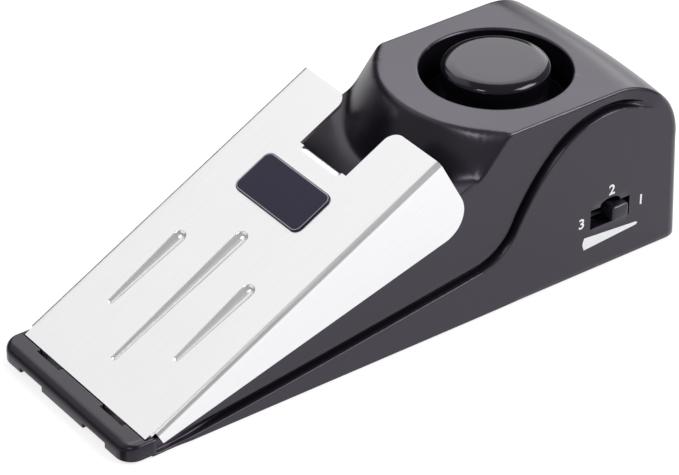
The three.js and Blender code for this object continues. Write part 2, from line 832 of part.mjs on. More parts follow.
/** The guide that lengthens the plunger's hole under the ramp. */
function plungerGuide() {
  const radius = plungerRadius + wall / 2 + clearance;
  return bar(radius, 0, 0, -wall, -wall / 2, round, radius, plungerFrame);
}

/** The plunger's hole. */
function plungerBore() {
  const radius = plungerRadius + clearance;
  return bar(radius, 0, 0, -wall * 2, wall * 2, round, radius, plungerFrame);
}

// Battery place, door and the base cover round it.
const batterySideRoom = 0.45;
const batteryFloor = 3.2;
const bayWall = 1.2;
const bayHeight = 15;
const doorThickness = 1.6;
const doorFrontMargin = 6;
const doorTabSpacing = 15;
const doorTabWidth = 5;
const doorTabReach = 2;
const doorTabThickness = 1;
const doorLip = 1;
const doorGripWidth = 10;
const doorGripLength = 1.2;
const doorGripDepth = 0.5;
const batteryRearY = rearY - batteryRearSetback;
const batteryFrontY = batteryRearY - batteryLength;
const bayX = batteryWidth / 2 + batterySideRoom;
const doorX = bayX - clearance;
const doorFrontY = batteryFrontY - doorFrontMargin;
const doorRearY = batteryRearY + clearance;

// Grip mat under the front, grip strips beside the battery door, and their beds in the base cover.
const padBed = 0.6;
const matWidth = 29;
const matFrontMargin = 3;
const matRearMargin = 4;
const stripWidth = 4.4;
const stripInset = 2.8;
const stripX = baseX - stripInset;
const stripLength = 34;
const matFrontY = baseFrontY + matFrontMargin;
const matRearY = doorFrontY - matRearMargin;
const stripFrontY = doorFrontY + clearance;

// Circuit board and its posts.
const boardThickness = 1.6;
const boardWidth = 29;
const boardFloor = 3.4;
const boardFrontSetback = 25.5;
const boardRearMargin = 3;
const boardTop = boardFloor + boardThickness;
const boardFrontY = frontY + boardFrontSetback;
const boardRearY = doorFrontY - boardRearMargin;
const boardPostRadius = 2.4;
const boardScrewInset = 3.2;
const boardScrewLength = 3;
const boardScrewPlaces = [
  ['front', boardWidth / 2 - boardScrewInset, boardFrontY + boardScrewInset],
  ['rear', -boardWidth / 2 + boardScrewInset, boardRearY - boardScrewInset],
];

/** The flat base cover with its battery bay, board posts, pad beds and screw holes. */
function baseCover() {
  const plate = box([-baseX, baseX], [baseFrontY, baseRearY], [0, baseThickness]);
  const bay = cut(
    box([-bayX - bayWall, bayX + bayWall], [batteryFrontY, batteryRearY + bayWall], [0, bayHeight]),
    box(
      [-bayX, bayX],
      [batteryFrontY - overrun, batteryRearY + clearance * 2],
      [-overrun, bayHeight + overrun],
    ),
  );
  const posts = boardScrewPlaces.map(([, x, y]) => (
    bar(boardPostRadius, x, y, baseThickness - overrun, boardFloor - seatGap, roughlyRound)
  ));
  const doorway = box(
    [-bayX, bayX],
    [doorFrontY - clearance, doorRearY + clearance],
    [-overrun, baseThickness + overrun],
  );
  const tabBeds = bothSides((side) => {
    const x = side * doorTabSpacing / 2;
    const halfWidth = doorTabWidth / 2 + clearance;
    return box(
      [x - halfWidth, x + halfWidth],
      [doorFrontY - doorTabReach - clearance * 2, doorFrontY],
      [doorLip, baseThickness + overrun],
    );
  });
  const matBed = box(
    [-matWidth / 2 - clearance, matWidth / 2 + clearance],
    [matFrontY - clearance, matRearY + clearance],
    [-overrun, padBed],
  );
  const stripBeds = bothSides((side) => box(
    [side * stripX - stripWidth / 2 - clearance, side * stripX + stripWidth / 2 + clearance],
    [stripFrontY - clearance, stripFrontY + stripLength + clearance],
    [-overrun, padBed],
  ));
  const screwHoles = screwPlaces.flatMap(([, x, y]) => [
    bar(screwRadius + clearance, x, y, -overrun, baseThickness + overrun, roughlyRound),
    bar(screwHeadRadius + clearance, x, y, -overrun, screwHeadHeight + clearance, roughlyRound),
  ]);
  const boardHoles = boardScrewPlaces.map(([, x, y]) => (
    bar(smallScrewRadius + clearance, x, y, boardFloor - boardScrewLength, boardFloor + overrun, roughlyRound)
  ));
  return cut(
    join(plate, bay, ...posts),
    doorway,
    ...tabBeds,
    matBed,
    ...stripBeds,
    ...screwHoles,
    ...boardHoles,
  );
}

/** The battery door: a flat cover with two tabs at its front edge and a finger groove at its rear. */
function batteryDoor() {
  const cover = box([-doorX, doorX], [doorFrontY, doorRearY], [0, doorThickness]);
  const tabZ = doorLip + clearance;
  const tabs = bothSides((side) => {
    const x = side * doorTabSpacing / 2;
    return box(
      [x - doorTabWidth / 2, x + doorTabWidth / 2],
      [doorFrontY - doorTabReach, doorFrontY + doorTabReach],
      [tabZ, tabZ + doorTabThickness],
    );
  });
  const grips = [1, 2, 3].map((i) => box(
    [-doorGripWidth / 2, doorGripWidth / 2],
    [doorRearY - i * doorGripLength * 2, doorRearY - i * doorGripLength * 2 + doorGripLength],
    [-overrun, doorGripDepth],
  ));
  return cut(join(cover, ...tabs), ...grips);
}

// Embossed ribs of the plate, pressed down and tapering to nothing towards the nose.
const ribSpacing = 12.35;
const ribRadius = 1.6;
const ribDepthShare = 0.65;
const sideRibStart = 16;
const sideRibEnd = 38.2;
const middleRibStart = 7.8;
const middleRibEnd = 46;
const ribSides = 14;

/** One rib as a tapered half-spindle under the plate's top face, grown by a margin. */
function ribSpindle(x, start, end, margin) {
  const radius = ribRadius + margin;
  const nose = start - margin;
  const shoulder = end - ribRadius;
  const tipShare = 0.08;
  const ballSteps = 5;
  const profile = [[0, nose], [radius * tipShare, nose]];
  profile.push([radius, shoulder]);
  for (let i = 1; i <= ballSteps; i += 1) {
    const angle = (i / ballSteps) * (Math.PI / 2);
    profile.push([i === ballSteps ? 0 : radius * Math.cos(angle), shoulder + radius * Math.sin(angle)]);
  }
  const points = profile.map(([r, reach]) => new THREE.Vector2(r, reach));
  const geometry = new THREE.LatheGeometry(points, ribSides);
  geometry.scale(1, 1, ribDepthShare);
  geometry.translate(x, 0, 0);
  return solid(geometry);
}

/** Plan of the plate in its own slope: relieved front corners, rear notch and rounded prongs. */
function platePlan() {
  const x1 = plateX;
  const x0 = x1 - plateReliefWidth;
  const notchX = plateNotchWidth / 2;
  const shape = new THREE.Shape();
  shape.moveTo(-x0, 0);
  shape.lineTo(x0, 0);
  shape.lineTo(x0, plateReliefLength);
  shape.lineTo(x1 + overrun, plateReliefLength);
  shape.lineTo(x1 + overrun, plateLength);
  shape.lineTo(notchX + prongRound, plateLength);
  shape.absarc(notchX + prongRound, plateLength - prongRound, prongRound, Math.PI / 2, Math.PI);
  shape.lineTo(notchX, legStart);
  shape.lineTo(-notchX, legStart);
  shape.lineTo(-notchX, plateLength - prongRound);
  shape.absarc(-notchX - prongRound, plateLength - prongRound, prongRound, 0, Math.PI / 2);
  shape.lineTo(-x1 - overrun, plateLength);
  shape.lineTo(-x1 - overrun, plateReliefLength);
  shape.lineTo(-x0, plateReliefLength);
  return shape;
}

/** Side elevation that trims the folded skirts, along the plate's own slope. */
function skirtElevation() {
  const run = plateLength - plateReliefLength;
  const slope = (skirtRearDepth - skirtFrontDepth) / run;
  const turn = Math.PI / 2 + Math.atan(slope);
  const tangent = skirtCornerRadius * Math.tan(turn / 2);
  const centreS = plateLength - skirtCornerRadius;
  const centreN = -skirtRearDepth + tangent;
  const shape = new THREE.Shape();
  shape.moveTo(-overrun, overrun);
  shape.lineTo(-overrun, -skirtFrontDepth);
  shape.lineTo(plateReliefLength, -skirtFrontDepth);
  shape.absarc(centreS, centreN, skirtCornerRadius, -Math.PI / 2 - Math.atan(slope), 0);
  shape.lineTo(plateLength, overrun);
  return shape;
}

/** Front elevation of the folded sheet: flat top with two long skirts, rounded along the folds. */
function plateSection() {
  const x1 = plateX;
  const t = plateThickness;
  const r = plateFoldRadius;
  const low = -skirtRearDepth - overrun;
  const shape = new THREE.Shape();
  shape.moveTo(x1, low);
  shape.lineTo(x1, -r);
  shape.absarc(x1 - r, -r, r, 0, Math.PI / 2);
  shape.lineTo(-x1 + r, 0);
  shape.absarc(-x1 + r, -r, r, Math.PI / 2, Math.PI);
  shape.lineTo(-x1, low);
  shape.lineTo(-x1 + t, low);
  shape.lineTo(-x1 + t, -r);
  shape.absarc(-x1 + r, -r, r - t, Math.PI, Math.PI / 2, true);
  shape.lineTo(x1 - r, -t);
  shape.absarc(x1 - r, -r, r - t, Math.PI / 2, 0, true);
  shape.lineTo(x1 - t, low);
  return shape;
}

/** The hooked tongues at the plate's front edge. */
function plateTongues() {
  const tongueY = plateFrontY - clearance * 2;
  const top = tongueFoot + plateThickness;
  const toPlate = plateFrame.clone().invert();
  const outline = polygon([
    [plateFrontY, plateFrontZ],
    [tongueY, plateFrontZ - plateThickness / 2],
    [tongueY, top],
    [tongueY - tongueReach, top],
    [tongueY - tongueReach, tongueFoot],
    [tongueY + plateThickness, tongueFoot],
    [tongueY + plateThickness, plateFrontZ - plateThickness * 2],
    [plateFrontY + plateThickness, plateFrontZ - plateThickness],
    [plateFrontY + plateThickness, plateFrontZ + plateThickness * Math.tan(plateAngle) / 2],
  ].map(([y, z]) => {
    const point = new THREE.Vector3(0, y, z).applyMatrix4(toPlate);
    return [point.y, point.z];
  }));
  return bothSides((side) => {
    const x = side * tongueSpacing / 2;
    return across(outline, x - tongueWidth / 2, x + tongueWidth / 2);
  });
}

/** The leg folded down at the notch, hooked under the ramp so that the spring can't lift the plate further. */
function plateLeg() {
  const hookTop = rampDepthAt(legStart) + wall + clearance * 2;
  const outline = polygon([
    [legStart, -plateThickness / 2],
    [legStart, -hookTop - plateThickness],
    [legStart - legHookReach, -hookTop - plateThickness],
    [legStart - legHookReach, -hookTop],
    [legStart - plateThickness, -hookTop],
    [legStart - plateThickness, -plateThickness / 2],
  ]);
  return across(outline, -legWidth / 2, legWidth / 2);
}

/** The steel pressure plate, in its own frame. */
function pressurePlate() {
  const ribs = [
    [-ribSpacing, sideRibStart, sideRibEnd],
    [0, middleRibStart, middleRibEnd],
    [ribSpacing, sideRibStart, sideRibEnd],
  ];
  const sheet = along(plateSection(), -overrun, plateLength + overrun)
    .intersect(upward(platePlan(), -skirtRearDepth - overrun, overrun))
    .intersect(across(skirtElevation(), -cheekWidth, cheekWidth));
  const topHalf = box(
    [-cheekWidth, cheekWidth],
    [-plateLength, plateLength * 2],
    [-plateThickness / 2, cheekWidth],
  );
  const bulges = ribs.map(([x, start, end]) => cut(ribSpindle(x, start, end, plateThickness), topHalf));
  const hollows = ribs.map(([x, start, end]) => ribSpindle(x, start, end, 0));
  const formed = cut(join(sheet, ...bulges), ...hollows);
  return join(formed, ...plateTongues(), plateLeg());
}

// Badge: a plain plate with round corners, glued a little off centre below the notch.
const badgeWidth = 22.5;
const badgeLength = 10.9;
const badgeThickness = 0.3;
const badgeRadius = 1.9;
const badgeOffset = 0.95;
const badgeFromNotch = 10.8;

/** The badge on the plate. */
function plateBadge() {
  const shape = roundedRectangle(-badgeOffset, legStart - badgeFromNotch, badgeWidth, badgeLength, badgeRadius);
  return upward(shape, seatGap, seatGap + badgeThickness, plateFrame, roughlyRound / 2);
}

// Siren cap: a button with a flat top and an oval edge, hollow underneath, on three legs with pins through
// the well's floor.
const capRoll = 3;
const capDrop = 1.6;
const capRollSteps = 6;
const capTaper = 0.6;
const capWall = 1.8;
const capLegThickness = 1.8;
const pinHeadRadius = 1.6;
const pinHeadHeight = 0.6;

/** The siren cap with its legs and the headed pins that hold it. */
function sirenCap() {
  const top = deckHeight + capProud;
  const foot = top - capHeight;
  const neck = capRadius - capTaper;
  const profile = [[0, top - capWall], [0, top]];
  for (let i = 0; i <= capRollSteps; i += 1) {
    const angle = (i / capRollSteps) * (Math.PI / 2);
    profile.push([capRadius - capRoll * (1 - Math.sin(angle)), top - capDrop * (1 - Math.cos(angle))]);
  }
  profile.push([neck, foot], [neck - capWall, foot], [capRadius - capRoll, top - capWall * 1.5]);
  profile.push([capRadius - capRoll * 1.5, top - capWall], [0, top - capWall]);
  const shell = turned(profile, 0, sirenY, finelyRound);
  const legs = capPinPlaces().map(([x, y]) => join(
    bar(capLegThickness, x, y, wellFloorZ + seatGap, top - capWall / 2, roughlyRound),
    bar(legPinRadius, x, y, wellUnderZ - clearance - pinHeadHeight / 2, wellFloorZ + overrun, roughlyRound),
    bar(pinHeadRadius, x, y, wellUnderZ - seatGap - pinHeadHeight, wellUnderZ - seatGap, roughlyRound),
  ));
  return join(shell, ...legs);
}

/** The piezo's retainer ring with two screwed ears. */
function piezoRetainer() {
  const footZ = retainerTopZ - retainerThickness;
  const ring = turned([
    [retainerInner, footZ],
    [retainerOuter, footZ],
    [retainerOuter, retainerTopZ],
    [retainerInner, retainerTopZ],
    [retainerInner, footZ],
  ], 0, sirenY);
  const ears = bothSides((side) => (
    bar(retainerEarRadius, side * retainerEarX, sirenY, footZ, retainerTopZ, roughlyRound)
  ));
  const holes = bothSides((side) => bar(
    smallScrewRadius + clearance,
    side * retainerEarX,
    sirenY,
    footZ - overrun,
    retainerTopZ + overrun,
    roughlyRound,
  ));
  return cut(join(ring, ...ears), ...holes);
}

/** A cross-headed screw whose shank points up from its head. */
function screwFromBelow(x, y, headZ, headRadius, headHeight, shankRadius, length) {
  const head = bar(headRadius, x, y, headZ, headZ + headHeight, roughlyRound);
  const shank = bar(shankRadius, x, y, headZ + headHeight / 2, headZ + headHeight + length, roughlyRound);
  const slotReach = headRadius * crossSlotShare;
  const floor = [headZ - overrun, headZ + crossSlotDepth];
  const slots = [
    box([x - slotReach, x + slotReach], [y - crossSlotWidth / 2, y + crossSlotWidth / 2], floor),
    box([x - crossSlotWidth / 2, x + crossSlotWidth / 2], [y - slotReach, y + slotReach], floor),
  ];
  return cut(join(head, shank), ...slots);
}

/** A cross-headed screw whose shank points down from its head. */
function screwFromAbove(x, y, seatZ, headRadius, headHeight, shankRadius, length) {
  const head = bar(headRadius, x, y, seatZ, seatZ + headHeight, roughlyRound);
  const shank = bar(shankRadius, x, y, seatZ - length, seatZ + headHeight / 2, roughlyRound);
  const slotReach = headRadius * crossSlotShare;
  const ceiling = [seatZ + headHeight - crossSlotDepth, seatZ + headHeight + overrun];
  const slots = [
    box([x - slotReach, x + slotReach], [y - crossSlotWidth / 2, y + crossSlotWidth / 2], ceiling),
    box([x - crossSlotWidth / 2, x + crossSlotWidth / 2], [y - slotReach, y + slotReach], ceiling),
  ];
  return cut(join(head, shank), ...slots);
}

// Slide knobs: a ribbed stem through the side slot and a foot that runs in the switch's channel.
const knobFootLength = 3.6;
const knobFootHeight = 2;
const channelDepth = 3;
const channelMargin = 0.4;
const sensitivityTravel = 4.2;
const powerTravel = 3;
const pinWidth = 0.6;
const pinLength = 1.2;

/** Body of a slide switch: a small metal-framed box with an open channel and solder pins. */
function slideSwitch(side, travel) {
  const outer = side * switchOuterX;
  const inner = side * (switchOuterX - switchDepth);
  const body = box(
    [Math.min(outer, inner), Math.max(outer, inner)],
    [slotY - switchLength / 2, slotY + switchLength / 2],
    [switchZ - switchHeight / 2, switchZ + switchHeight / 2],
  );
  const channelEnd = side * (switchOuterX - channelDepth);
  const past = side * (switchOuterX + overrun);
  const channelReach = knobFootLength / 2 + travel / 2 + channelMargin;
  const channel = box(
    [Math.min(channelEnd, past), Math.max(channelEnd, past)],
    [slotY - channelReach, slotY + channelReach],
    [switchZ - knobFootHeight / 2 - clearance, switchZ + knobFootHeight / 2 + clearance],
  );
  const pinSpan = [inner - side * pinLength, inner + side * wall / 2];
  const pins = [-1, 0, 1].map((i) => {
    const y = slotY + (i * switchLength) / 4;
    return box(
      [Math.min(...pinSpan), Math.max(...pinSpan)],
      [y - pinWidth / 2, y + pinWidth / 2],
      [switchZ - pinWidth / 2, switchZ + pinWidth / 2],
    );
  });
  return cut(join(body, ...pins), channel);
}

/** A slide knob, resting at one end of its travel. */
function slideKnob(side, restY) {
  const stemFoot = side * (innerX + clearance);
  const stemEnd = side * (cheekX + knobProud);
  const stem = box(
    [Math.min(stemFoot, stemEnd), Math.max(stemFoot, stemEnd)],
    [restY - knobLength / 2, restY + knobLength / 2],
    [switchZ - knobHeight / 2, switchZ + knobHeight / 2],
  );
  const footEnd = side * (switchOuterX - channelDepth + clearance);
  const footRoot = stemFoot + side * seatGap;
  const foot = box(
    [Math.min(footRoot, footEnd), Math.max(footRoot, footEnd)],
    [restY - knobFootLength / 2, restY + knobFootLength / 2],
    [switchZ - knobFootHeight / 2, switchZ + knobFootHeight / 2],
  );
  return join(stem, foot);
}

/** A helical spring of round wire between two heights, as one closed tube with straight ends. */
function springTube(radius, wire, turns, z0, z1, frame, label) {
  const stepsPerTurn = 8;
  const sides = 5;
  const steps = turns * stepsPerTurn;
  const rise = (z1 - z0 - wire) / steps;
  const centres = [];
  for (let i = 0; i <= steps; i += 1) {
    const angle = (i / stepsPerTurn) * Math.PI * 2;
    const height = z0 + wire / 2 + i * rise;
    centres.push(new THREE.Vector3(radius * Math.cos(angle), radius * Math.sin(angle), height));
  }
  const startRun = new THREE.Vector3(0, -wire, 0);
  const endRun = new THREE.Vector3(0, wire, 0);
  centres.unshift(centres[0].clone().add(startRun));
  centres.push(centres[centres.length - 1].clone().add(endRun));
  const positions = [];
  const index = [];
  centres.forEach((centre, i) => {
    const before = centres[Math.max(i - 1, 0)];
    const after = centres[Math.min(i + 1, centres.length - 1)];
    const run = new THREE.Vector3().subVectors(after, before).normalize();
    const out = new THREE.Vector3(centre.x, centre.y, 0).normalize();
    const up = new THREE.Vector3().crossVectors(run, out).normalize();
    const level = new THREE.Vector3().crossVectors(up, run).normalize();
    for (let k = 0; k < sides; k += 1) {
      const angle = (k / sides) * Math.PI * 2;
      const point = centre.clone();
      point.addScaledVector(level, (wire / 2) * Math.cos(angle));
      point.addScaledVector(up, (wire / 2) * Math.sin(angle));
      positions.push(point.x, point.y, point.z);
    }
  });
  const rings = centres.length;
  for (let i = 0; i < rings - 1; i += 1) {
    for (let k = 0; k < sides; k += 1) {
      const a = i * sides + k;
      const b = i * sides + ((k + 1) % sides);
      index.push(a, b, b + sides, a, b + sides, a + sides);
    }
  }
  for (let k = 1; k < sides - 1; k += 1) {
    const last = (rings - 1) * sides;
    index.push(0, k + 1, k, last, last + k, last + k + 1);
  }
  const geometry = new THREE.BufferGeometry();
  geometry.setAttribute('position', new THREE.Float32BufferAttribute(positions, 3));
  geometry.setIndex(index);
  let leastGap = Infinity;
  centres.forEach((centre, i) => {
    centres.slice(i + stepsPerTurn / 2).forEach((other) => {
      leastGap = Math.min(leastGap, centre.distanceTo(other) - wire);
    });
  });
  console.log(`${label}: least gap to itself ${leastGap.toFixed(2)} mm`);
  geometry.applyMatrix4(frame);
  return solid(geometry);
}

/** The spring that holds the plate up. */
function plateSpring() {
  const z0 = -springCupDepth + seatGap;
  const z1 = restGap(springSetback) - springSeatMargin;
  return springTube(springRadius, springWire, springTurns, z0, z1, springFrame, 'plate_spring');
}

/** The trigger plunger: a domed rod through the ramp with a collar and a foot inside. */
function triggerPlunger() {
  const top = restGap(plungerSetback) - clearance;
  const collarTop = -wall - clearance * 2;
  const collarFoot = collarTop - plungerCollarThickness;
  const foot = collarFoot - plungerFootLength;
  const domeShare = 0.6;
  return turned([
    [0, foot],
    [plungerFootRadius * domeShare, foot],
    [plungerFootRadius, foot + plungerFootLength / 2],
    [plungerFootRadius, collarFoot],
    [plungerCollarRadius, collarFoot],
    [plungerCollarRadius, collarTop],
    [plungerRadius, collarTop],
    [plungerRadius, top - plungerRadius / 2],
    [plungerRadius * domeShare, top - plungerRadius / 8],
    [0, top],
  ], 0, 0, round, plungerFrame);
}

// Contact blade: a sprung strip that the plunger pushes down on its fixed contact.
const bladeLength = 15.6;
const bladeWidth = 4;
const bladeThickness = 0.35;
const bladeDegrees = 11;
const bladeRootSetback = 52;
const bladeRootRise = 0.75;
const bladeRootY = frontY + bladeRootSetback;
const bladeRootZ = boardTop + bladeRootRise;
const bladeFootLength = 4;
const bladeFootHeight = 1;
const contactRadius = 1.3;
const contactHeight = 0.4;
const contactReach = 12.5;

/** The moving strip of the contact, sloping up towards the nose. */
function contactBlade() {
  const frame = new THREE.Matrix4()
    .makeRotationX(-THREE.MathUtils.degToRad(bladeDegrees))
    .setPosition(plungerX, bladeRootY, bladeRootZ);
  return box(
    [-bladeWidth / 2, bladeWidth / 2],
    [-bladeLength, -clearance / 2],
    [-bladeThickness / 2, bladeThickness / 2],
    frame,
  );
}

/** The strip's riveted foot on the board. */
function contactFoot() {
  return box(
    [plungerX - bladeWidth / 2, plungerX + bladeWidth / 2],
    [bladeRootY + clearance, bladeRootY + clearance + bladeFootLength],
    [boardTop + seatGap, boardTop + seatGap + bladeFootHeight],
  );
}

/** The fixed contact under the strip. */
function contactPost() {
  const y = bladeRootY - contactReach;
  return bar(contactRadius, plungerX, y, boardTop + seatGap, boardTop + seatGap + contactHeight, roughlyRound);
}

/** The circuit board with its two screw holes. */
function circuitBoard() {
  const board = box([-boardWidth / 2, boardWidth / 2], [boardFrontY, boardRearY], [boardFloor, boardTop]);
  const holes = boardScrewPlaces.map(([, x, y]) => (
    bar(smallScrewRadius + clearance, x, y, boardFloor - overrun, boardTop + overrun, roughlyRound)
  ));
  return cut(board, ...holes);
}

// Parts soldered on the board, placed from the board's front edge.
const partFloor = boardTop + seatGap;
const chipLength = 9.4;
const chipWidth = 6.4;
const chipHeight = 3.3;
const chipX = -5.5;
const chipReachShare = 0.5576;
const chipLegWidth = 0.5;
const chipLegSpread = 1;
const coilRadius = 4;
const coilFlange = 0.9;
const coilWaist = 3.1;
const coilHeight = 8.6;
const coilX = -8;
const coilReachShare = 0.8004;
const capacitorRadius = 2.5;
const capacitorHeight = 9.5;
const capacitorBead = 0.3;
const capacitorX = 10;
const capacitorReachShare = 0.7194;
const transistorWidth = 4.6;
const transistorHeight = 4.6;
const transistorFlat = 1.2;
const transistorX = 3;
const transistorReachShare = 0.7734;
const sensorRadius = 2.4;
const sensorLength = 10;
const sensorX = -9.5;
const sensorReachShare = 0.2518;

/** A place along the board, as a share of its length from its front edge. */
function boardY(share) {
  return boardFrontY + share * (boardRearY - boardFrontY);
}

/** The controller chip with four legs down each side. */
function controllerChip() {
  const y = boardY(chipReachShare);
  const legHeight = chipHeight / 2;
  const body = box(
    [chipX - chipWidth / 2, chipX + chipWidth / 2],
    [y - chipLength / 2, y + chipLength / 2],
    [partFloor + chipLegWidth, partFloor + chipHeight],
  );
  const legs = [-3, -1, 1, 3].map((i) => {
    const legY = y + (i * chipLength) / 8;
    return box(
      [chipX - chipWidth / 2 - chipLegSpread, chipX + chipWidth / 2 + chipLegSpread],
      [legY - chipLegWidth / 2, legY + chipLegWidth / 2],
      [partFloor, partFloor + legHeight],
    );
  });
  return join(body, ...legs);
}

/** The step-up coil on its bobbin. */
function boostCoil() {
  const z0 = partFloor;
  const z1 = partFloor + coilHeight;
  return turned([
    [0, z0],
    [coilRadius, z0],
    [coilRadius, z0 + coilFlange],
    [coilWaist, z0 + coilFlange],
    [coilWaist, z1 - coilFlange],
    [coilRadius, z1 - coilFlange],
    [coilRadius, z1],
    [0, z1],
  ], coilX, boardY(coilReachShare), round);
}

/** The electrolytic capacitor, with the beaded groove of its can. */
function capacitor() {
  const z0 = partFloor;
  const z1 = partFloor + capacitorHeight;
  return turned([
    [0, z0],
    [capacitorRadius, z0],
    [capacitorRadius, z0 + capacitorBead * 3],
    [capacitorRadius - capacitorBead, z0 + capacitorBead * 4],
    [capacitorRadius, z0 + capacitorBead * 5],
    [capacitorRadius, z1 - capacitorBead],
    [capacitorRadius - capacitorBead, z1],
    [0, z1],
  ], capacitorX, boardY(capacitorReachShare), roughlyRound);
}

/** The driver transistor, round-backed with one flat side. */
function driveTransistor() {
  const y = boardY(transistorReachShare);
  const can = bar(transistorWidth / 2, transistorX, y, partFloor, partFloor + transistorHeight, roughlyRound);
  const flat = box(
    [transistorX - transistorWidth, transistorX + transistorWidth],
    [y - transistorWidth, y - transistorFlat],
    [partFloor - overrun, partFloor + transistorHeight + overrun],
  );
  return cut(can, flat);
}

/** The vibration sensor: a small can that lies on the board. */
function vibrationSensor() {
  const y0 = boardY(sensorReachShare);
  const geometry = new THREE.CylinderGeometry(sensorRadius, sensorRadius, sensorLength, roughlyRound);
  geometry.translate(sensorX, y0 + sensorLength / 2, partFloor + sensorRadius);
  return solid(geometry);
}

// Battery studs, snap connector and foam.
const studSpacing = 12.7;
const studHeight = 2.1;
const maleStudRadius = 2.8;
const femaleStudRadius = 4;
const studBore = 3;
const batteryCorner = 2;
const snapWidth = 25;
const snapHeight = 11.5;
const snapThickness = 3;
const foamWidth = 18;
const foamLength = 26;
const batteryZ = batteryFloor + batteryHeight / 2;
const snapRearY = batteryFrontY - studHeight - clearance;
const snapFrontY = snapRearY - snapThickness;

/** The battery's block. */
function batteryBlock() {
  const shape = roundedRectangle(0, batteryZ, batteryWidth, batteryHeight, batteryCorner);
  return along(shape, batteryFrontY, batteryRearY);
}

/** One battery stud, turned about a line along the object. */
function stud(x, profile, sides) {
  const points = profile.map(([radius, reach]) => new THREE.Vector2(radius, reach));
  const geometry = new THREE.LatheGeometry(points, sides);
  geometry.rotateX(Math.PI);
  geometry.translate(x, batteryFrontY, batteryZ);
  return solid(geometry);
}

/** The smaller, male stud. */
function maleStud() {
  return stud(-studSpacing / 2, [
    [0, seatGap],
    [maleStudRadius, seatGap],
    [maleStudRadius, studHeight],
    [0, studHeight],
  ], roughlyRound);
}

/** The larger, female stud, an open cup. */
function femaleStud() {
  return stud(studSpacing / 2, [
    [0, seatGap],
    [femaleStudRadius, seatGap],
    [femaleStudRadius, studHeight],
    [studBore, studHeight],
    [studBore, studHeight / 2],
    [0, studHeight / 2],
  ], roughlyRound);
}

/** The snap connector that presses on both studs. */
function snapConnector() {
  const shape = roundedRectangle(0, batteryZ, snapWidth, snapHeight, snapHeight / 2 - clearance);
  return along(shape, snapFrontY, snapRearY);
}

/** The foam strip on the battery door. */
function batteryFoam() {
  const y = (batteryFrontY + batteryRearY) / 2;
  return box(
    [-foamWidth / 2, foamWidth / 2],
    [y - foamLength / 2, y + foamLength / 2],
    [doorThickness + seatGap, batteryFloor - clearance],
  );
}

// Leads inside the housing: hand-laid routes, all of the same wire.
const leadRadius = 0.55;
const leadSides = 6;
const leadSteps = 20;

/** An insulated lead along a route. */
function lead(points) {
  const route = new THREE.CatmullRomCurve3(points.map(([widthShare, lengthShare, heightShare]) => (
    new THREE.Vector3(widthShare * innerX, frontY + lengthShare * overallLength, heightShare * deckHeight)
  )));
  const section = new THREE.Shape();
  for (let k = 0; k < leadSides; k += 1) {
    const angle = (k / leadSides) * Math.PI * 2;
    const corner = [leadRadius * Math.cos(angle), leadRadius * Math.sin(angle)];
    if (k === 0) section.moveTo(...corner);
    else section.lineTo(...corner);
  }
  const sweep = { steps: leadSteps, bevelEnabled: false, extrudePath: route };
  return solid(new THREE.ExtrudeGeometry(section, sweep));
}

// Each route's points are shares of the half width, of the length from the nose, and of the deck's height.
const batteryLeadRedShares = [
  [0.3077, 0.5813, 0.2857], [0.3077, 0.5723, 0.281], [0.3365, 0.5585, 0.2286],
  [0.3558, 0.5503, 0.1762], [0.3558, 0.5461, 0.1298],
];
const batteryLeadBlackShares = [
  [-0.1635, 0.5813, 0.2619], [-0.1635, 0.5723, 0.2571], [-0.125, 0.5585, 0.2143],
  [-0.0962, 0.5503, 0.1714], [-0.0962, 0.5461, 0.1298],
];
const piezoLeadRedShares = [
  [0.1154, 0.7358, 0.631], [0.1154, 0.7152, 0.6048], [0.1442, 0.6669, 0.5524],
  [0.1635, 0.6095, 0.5429], [0.1923, 0.5751, 0.4762], [0.125, 0.5572, 0.3333],
  [0.0481, 0.5448, 0.2048], [0.0385, 0.531, 0.1298],
];
const piezoLeadBlackShares = [
  [-0.1154, 0.7358, 0.631], [-0.1154, 0.7152, 0.6048], [-0.1442, 0.6669, 0.5524],
  [-0.1635, 0.6095, 0.5429], [-0.2115, 0.5751, 0.4762], [-0.2596, 0.5572, 0.3333],
  [-0.2692, 0.5434, 0.2048], [-0.2692, 0.5296, 0.1298],
];
const sensitivityLeadShares = [
  [0.8606, 0.8072, 0.3095], [0.8606, 0.7913, 0.3048], [0.8654, 0.7128, 0.2286],
  [0.8654, 0.6026, 0.181], [0.8077, 0.5544, 0.1667], [0.6538, 0.5227, 0.1619],
  [0.6058, 0.5103, 0.1298],
];
const powerLeadShares = [
  [-0.8606, 0.8072, 0.3095], [-0.8606, 0.7913, 0.3048], [-0.8654, 0.7128, 0.2286],
  [-0.8654, 0.6026, 0.181], [-0.8173, 0.5269, 0.1667], [-0.6635, 0.4787, 0.1619],
  [-0.6154, 0.4649, 0.1298],
];
const leadRoutes = [
  ['battery_lead_red', redWire, batteryLeadRedShares],
  ['battery_lead_black', blackWire, batteryLeadBlackShares],
  ['piezo_lead_red', redWire, piezoLeadRedShares],
  ['piezo_lead_black', blackWire, piezoLeadBlackShares],
  ['sensitivity_lead', redWire, sensitivityLeadShares],
  ['power_lead', blackWire, powerLeadShares],
];

/** The front grip mat and the two rear grip strips, each proud of the base cover. */
function gripMat() {
  return box([-matWidth / 2, matWidth / 2], [matFrontY, matRearY], [-padProud, padBed - clearance]);
}
function gripStrip(side) {
  const x = side * stripX;
  return box(
    [x - stripWidth / 2, x + stripWidth / 2],
    [stripFrontY, stripFrontY + stripLength],
    [-padProud, padBed - clearance],
  );
}

